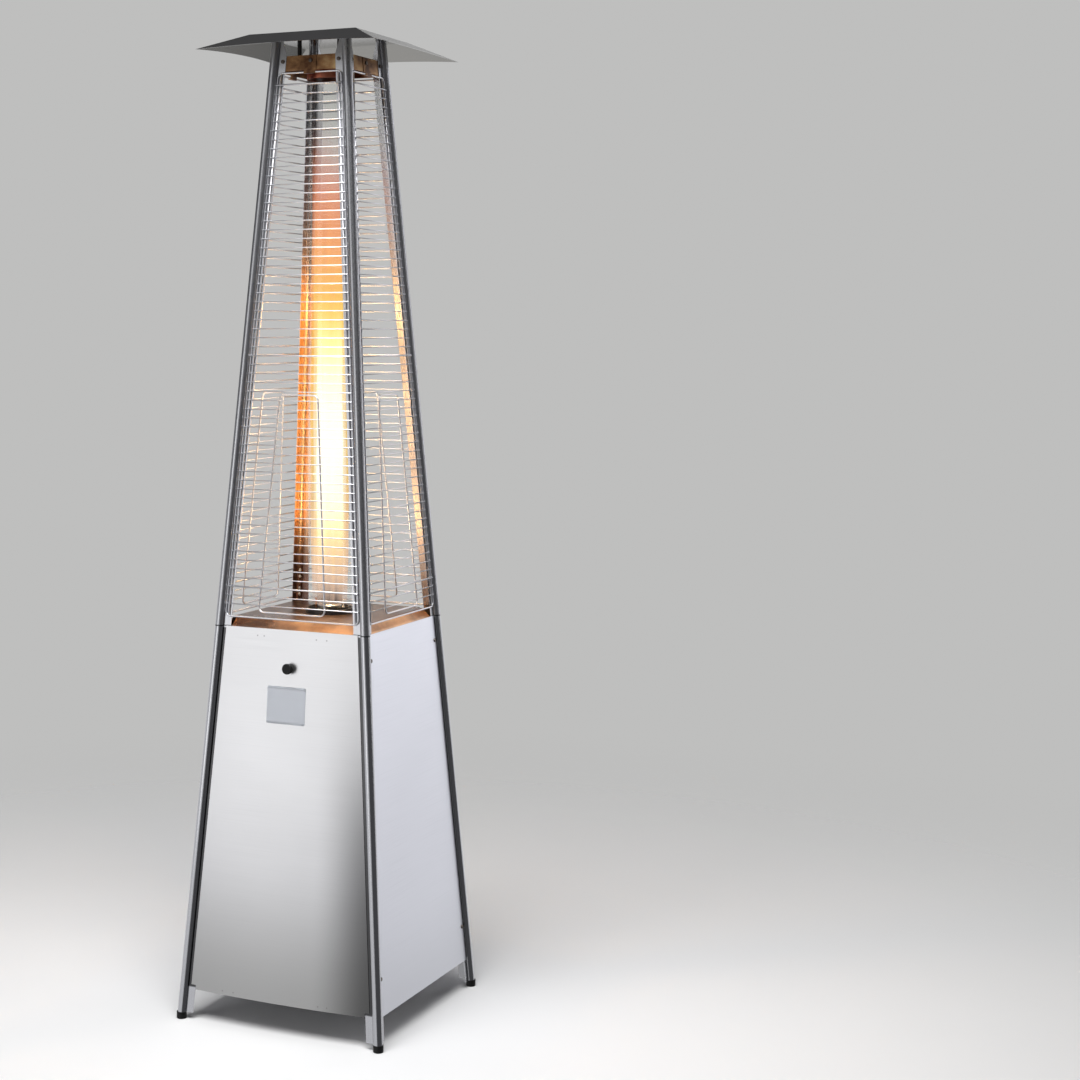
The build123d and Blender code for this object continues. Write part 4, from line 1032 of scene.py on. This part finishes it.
@dataclass
class SpliceScrews:
    """Screw heads on the inner side of each post, over the splice that joins its halves."""

    posts: Posts
    finishes: Finishes
    tube: float = 0.011
    head: float = 0.0036
    rise: float = 0.0014
    sink: float = 0.0008
    heights: Tuple[float, ...] = (0.941, 0.956, 0.985, 1.0)
    sides: int = 14
    dome: Tuple[Tuple[float, float], ...] = ((1.0, 0.4), (0.8, 0.8), (0.4, 1.0))  # shares of head and rise

    def screw(self, mesh: BMesh, base: Vector, out: Vector) -> None:
        """Add one domed head.

        Args:
            mesh: The mesh it is added to.
            base: The point of the tube's face under it.
            out: The direction that it faces.
        """
        side = out.cross(Vector((0.0, 0.0, 1.0))).normalized()
        axes = (side, out.cross(side))
        profile = ((1.0, -self.sink), *((share, level * self.rise) for share, level in self.dome))
        rings = [
            Workshop.ring(mesh, base + out * level, axes, self.head * share, self.sides)
            for share, level in profile
        ]
        Workshop.skin(mesh, rings)

    def build(self) -> None:
        """Build the heads on all four posts."""
        mesh = bmesh.new()
        for x_side in (-1, 1):
            for y_side in (-1, 1):
                out = Vector((-x_side, -y_side, 0.0)).normalized()
                for height in self.heights:
                    spread = self.posts.spread(height)
                    base = Vector((x_side * spread, y_side * spread, height)) + out * self.tube
                    self.screw(mesh, base, out)
        made = Workshop.piece("splice_screw_heads", mesh, self.finishes["zinc"], BODY)


@dataclass
class DoorPlate:
    """A bare metal plate on the door, below its knob."""

    posts: Posts
    finishes: Finishes
    left: float = -0.054
    right: float = 0.0435
    low: float = 0.701
    high: float = 0.785
    corner: float = 0.003
    thick: float = 0.0005
    door_face: float = 0.0019
    door_foot: float = 0.072
    door_top: float = 0.912
    bow: float = 0.01
    edge_gap: float = 0.018
    steps: int = 12
    corner_steps: int = 4

    def on_door(self, x: float, z: float, rise: float) -> Vector:
        """Give a point over the bowed door.

        Args:
            x: Its place across the door.
            z: Its height.
            rise: Its distance in front of the door's face.

        Returns:
            The point.
        """
        share = (self.door_top - z) / (self.door_top - self.door_foot)
        half = self.posts.spread(z) - self.edge_gap
        bow = self.bow * share * (1 - (x / half) ** 2)
        return self.posts.on_front(x, z, self.door_face + bow + rise)

    def outline(self, x: float) -> Tuple[float, float]:
        """Give the plate's lower and upper edge at a place across it.

        Args:
            x: The place.

        Returns:
            Both heights.
        """
        inside = min(x - self.left, self.right - x)
        cut = 0.0
        if inside < self.corner:
            cut = self.corner - math.sqrt(max(self.corner**2 - (self.corner - inside) ** 2, 0.0))
        return self.low + cut, self.high - cut

    def build(self) -> None:
        """Build the plate with round corners."""
        mesh = bmesh.new()
        turns = [math.pi / 2 * step / self.corner_steps for step in range(self.corner_steps + 1)]
        corner_places = [self.corner * (1 - math.cos(turn)) for turn in turns]
        places = [self.left + place for place in corner_places]
        width = self.right - self.left - 2 * self.corner
        places += [self.left + self.corner + width * step / self.steps for step in range(1, self.steps)]
        places += [self.right - place for place in reversed(corner_places)]
        rows: List[List[BMVert]] = []
        for x in places:
            low, high = self.outline(x)
            heights = [low + (high - low) * step / self.steps for step in range(self.steps + 1)]
            rows.append([mesh.verts.new(self.on_door(x, z, self.thick)) for z in heights])
        for near, far in zip(rows, rows[1:]):
            for step in range(self.steps):
                face = mesh.faces.new((near[step], near[step + 1], far[step + 1], far[step]))
                face.smooth = True
        bmesh.ops.solidify(mesh, geom=mesh.faces[:], thickness=self.thick)
        made = Workshop.piece("door_plate", mesh, self.finishes["plate_foil"], DOOR)


@dataclass
class Flame:
    """The flame in the glass tube: two thin veils round a white-hot core."""

    shells: Tuple[Fire, ...] = (
        Fire("flame_mantle", 2.13, 0.0435, VEIL_STOPS, 1.05, 0.5, rise=(-0.03, 0.06), fall=(0.64, 0.95)),
        Fire("flame_body", 2.13, 0.037, HEART_STOPS, 1.1, 0.7, rise=(-0.01, 0.1), fall=(0.58, 0.92)),
        Fire("flame_core", 1.72, 0.031, HEART_STOPS, 5.0, 0.9, rise=(0.07, 0.22), fall=(0.4, 0.62)),
    )
    foot_share: float = 0.92
    foot_rise: float = 0.12
    taper: float = 0.25
    taper_start: float = 0.4
    sway: float = 0.0012
    sway_waves: Tuple[float, float] = (7.0, 9.0)
    ripple: float = 0.02
    ripple_rise: float = 4.0
    lobes: int = 3
    twist: float = 26.0
    rows: int = 64
    sides: int = 28
    lights: Tuple[Tuple[float, float], ...] = ((1.1, 4.0), (1.35, 6.0), (1.6, 4.0))
    warm: Colour = (1.0, 0.64, 0.32)
    light_radius: float = 0.03

    def shell(self, fire: Fire) -> BMesh:
        """Build one closed shell of the flame.

        Args:
            fire: Its size and glow.

        Returns:
            The mesh.
        """
        foot = fire.radius * self.foot_share
        mesh = bmesh.new()
        rings = []
        for row in range(self.rows + 1):
            share = row / self.rows
            z = fire.low + (fire.top - fire.low) * share
            grow = min(share / self.foot_rise, 1.0)
            width = foot + (fire.radius - foot) * grow * grow * (3 - 2 * grow)
            width *= 1 - self.taper * max(share - self.taper_start, 0.0)
            middle_x = self.sway * share * math.sin(self.sway_waves[0] * share)
            middle_y = self.sway * share * math.cos(self.sway_waves[1] * share)
            ripple = self.ripple * min(self.ripple_rise * share, 1.0)
            ring = []
            for side in range(self.sides):
                angle = 2 * math.pi * side / self.sides
                reach = width * (1 + ripple * math.sin(self.lobes * angle + self.twist * share))
                x = middle_x + reach * math.cos(angle)
                y = middle_y + reach * math.sin(angle)
                ring.append(mesh.verts.new((x, y, z)))
            rings.append(ring)
        Workshop.skin(mesh, rings)
        return mesh

    def build(self) -> None:
        """Build the shells from the outer veil to the white-hot core, and the light they give."""
        for fire in self.shells:
            made = Workshop.piece(fire.name, self.shell(fire), fire.make(), BODY)
            made.visible_shadow = False
        for height, power in self.lights:
            data = bpy.data.lights.new("flame_light", "POINT")
            data.energy = power
            data.color = self.warm
            data.shadow_soft_size = self.light_radius
            light = Workshop.place("flame_light", data)
            light.location = (0.0, 0.0, height)


@dataclass(frozen=True)
class Reflector:
    """A soft round patch of the surroundings, which the metal mirrors. Angles in degrees, from -Y to +X."""

    azimuth: float
    elevation: float
    narrow: float
    wide: float
    colour: Colour

    def mask(self, shader: Shader) -> Value:
        """Mark the patch.

        Args:
            shader: The surroundings in the making.

        Returns:
            1 up to the narrow angle from the patch's middle, and 0 from the wide angle on.
        """
        turn, lift = math.radians(self.azimuth), math.radians(self.elevation)
        middle = (math.sin(turn) * math.cos(lift), -math.cos(turn) * math.cos(lift), math.sin(lift))
        product = {"operation": "DOT_PRODUCT"}
        near = shader.node("ShaderNodeVectorMath", product, {0: shader.place, 1: middle})
        edges = (math.cos(math.radians(angle)) for angle in (self.wide, self.narrow))
        return Value(shader, near.outputs["Value"]).step(*edges)


@dataclass(frozen=True)
class Softbox:
    """A soft light that hangs in the studio."""

    name: str
    place: Point
    aim: Point
    size: Tuple[float, float]
    power: float

    def hang(self) -> None:
        """Hang the light and turn it towards its aim."""
        data = bpy.data.lights.new(self.name, "AREA")
        data.shape = "RECTANGLE"
        data.size, data.size_y = self.size
        data.energy = self.power
        made = Workshop.place(self.name, data)
        made.location = self.place
        made.rotation_euler = (Vector(self.aim) - Vector(self.place)).to_track_quat("-Z", "Y").to_euler()


@dataclass
class Studio:
    """Pale floor, soft lights and the camera of the photograph."""

    eye: Point = (2.165, -4.132, 1.591)
    yaw: float = 25.66
    pitch: float = 6.03
    roll: float = 0.21
    focal_pixels: float = 2028.8
    middle: Tuple[float, float] = (400.0, 540.0)
    sensor: float = 36.0
    view_end: float = 200.0
    backdrop: Colour = (0.52, 0.52, 0.515)
    low_room: Colour = (0.85, 0.85, 0.87)
    high_room: Colour = (0.08, 0.08, 0.085)
    deep_room: Colour = (0.45, 0.45, 0.45)
    horizon: Span = (-0.06, 0.04)
    deep: Span = (-0.45, -0.2)
    reflectors: Tuple[Reflector, ...] = (
        Reflector(205.0, 9.0, 4.0, 11.0, (0.8, 0.8, 0.8)),
        Reflector(68.0, -4.0, 54.0, 66.0, (0.09, 0.09, 0.095)),
        Reflector(-29.0, 14.0, 9.0, 22.0, (0.8, 0.8, 0.8)),
        Reflector(162.0, 24.0, 9.0, 20.0, (1.6, 1.6, 1.7)),
        Reflector(-36.0, 37.0, 12.0, 26.0, (0.8, 0.8, 0.82)),
        Reflector(152.0, 6.0, 5.0, 15.0, (1.8, 1.8, 1.88)),
        Reflector(195.0, -27.0, 9.0, 17.0, (0.16, 0.16, 0.16)),
        Reflector(212.0, -46.0, 14.0, 24.0, (0.78, 0.78, 0.78)),
    )
    softboxes: Tuple[Softbox, ...] = (
        Softbox("key", (-2.7, -4.9, 0.98), (0.0, -0.2, 0.85), (2.6, 2.3), 17.5),
        Softbox("side", (4.6, 1.6, 2.0), (0.0, 0.0, 1.0), (0.5, 3.4), 9.0),
        Softbox("top", (0.6, -2.0, 4.8), (0.0, -0.2, 0.4), (3.4, 2.6), 280.0),
    )
    floor_near: float = 0.5
    floor_far: float = 3.4
    floor_dark: Colour = (0.84, 0.84, 0.84)
    floor_pale: Colour = (0.86, 0.86, 0.86)
    floor_waves: Point = (3.0, 3.0, 3.0)
    floor_roughness: float = 0.8

    def camera(self) -> None:
        """Set the camera where the photograph was taken."""
        yaw, pitch, roll = (math.radians(angle) for angle in (self.yaw, self.pitch, self.roll))
        ahead = Vector((-math.sin(yaw) * math.cos(pitch), math.cos(yaw) * math.cos(pitch), -math.sin(pitch)))
        right = Vector((math.cos(yaw), math.sin(yaw), 0.0))
        up = right.cross(ahead)
        turned_right = math.cos(roll) * right + math.sin(roll) * up
        turned_up = -math.sin(roll) * right + math.cos(roll) * up
        data = bpy.data.cameras.new("camera")
        data.sensor_width = self.sensor
        data.lens = self.focal_pixels * self.sensor / IMAGE_SIDE
        data.shift_x = (IMAGE_SIDE / 2 - self.middle[0]) / IMAGE_SIDE
        data.shift_y = (self.middle[1] - IMAGE_SIDE / 2) / IMAGE_SIDE
        data.clip_end = self.view_end
        made = Workshop.place("camera", data)
        axes = Matrix((turned_right, turned_up, -ahead)).transposed()
        made.matrix_world = Matrix.Translation(self.eye) @ axes.to_4x4()
        bpy.context.scene.camera = made

    def floor(self) -> None:
        """Lay the pale floor, which fades into the backdrop."""
        shader = Shader.named("pale_floor")
        colour = shader.mix(shader.noise(self.floor_waves), self.floor_dark, self.floor_pale)
        reach = (shader.x * shader.x + shader.y * shader.y) ** 0.5
        near = 1 - reach.step(self.floor_near, self.floor_far)
        sockets = {"Base Color": colour, "Roughness": self.floor_roughness, "Alpha": near}
        material = shader.close(shader.surface(sockets))
        mesh = bmesh.new()
        half = self.floor_far
        corners = ((-half, -half), (half, -half), (half, half), (-half, half))
        mesh.faces.new([mesh.verts.new((x, y, 0.0)) for x, y in corners])
        made = Workshop.solid("floor", mesh, material)
        made.visible_glossy = False

    def world(self) -> None:
        """Set the surroundings: a pale backdrop for the camera, and a room that the metal mirrors."""
        world = bpy.data.worlds.new("studio")
        shader = Shader.around(world)
        room = shader.mix(shader.z.step(*self.horizon), self.low_room, self.high_room)
        room = shader.mix(1 - shader.z.step(*self.deep), room, self.deep_room)
        for reflector in self.reflectors:
            room = shader.mix(reflector.mask(shader), room, reflector.colour)
        camera = Value(shader, shader.node("ShaderNodeLightPath").outputs["Is Camera Ray"])
        colour = shader.mix(camera, room, self.backdrop)
        background = shader.node("ShaderNodeBackground", {}, {"Color": colour, "Strength": 1.0})
        shader.node("ShaderNodeOutputWorld", {}, {"Surface": background.outputs[0]})
        bpy.context.scene.world = world

    def build(self) -> None:
        """Set up the whole studio."""
        self.camera()
        self.floor()
        self.world()
        for softbox in self.softboxes:
            softbox.hang()
        bpy.context.scene.view_settings.view_transform = "Standard"


def main() -> None:
    """Dress the heater and set up its studio."""
    logging.basicConfig(level=logging.INFO, format="%(name)s: %(message)s")
    finishes = Finishes()
    posts = Posts()
    DressedSolids(finishes).dress()
    WireGuards(posts, finishes).build()
    SpliceScrews(posts, finishes).build()
    DoorPlate(posts, finishes).build()
    Flame().build()
    Studio().build()


if __name__ == "__main__":
    main()
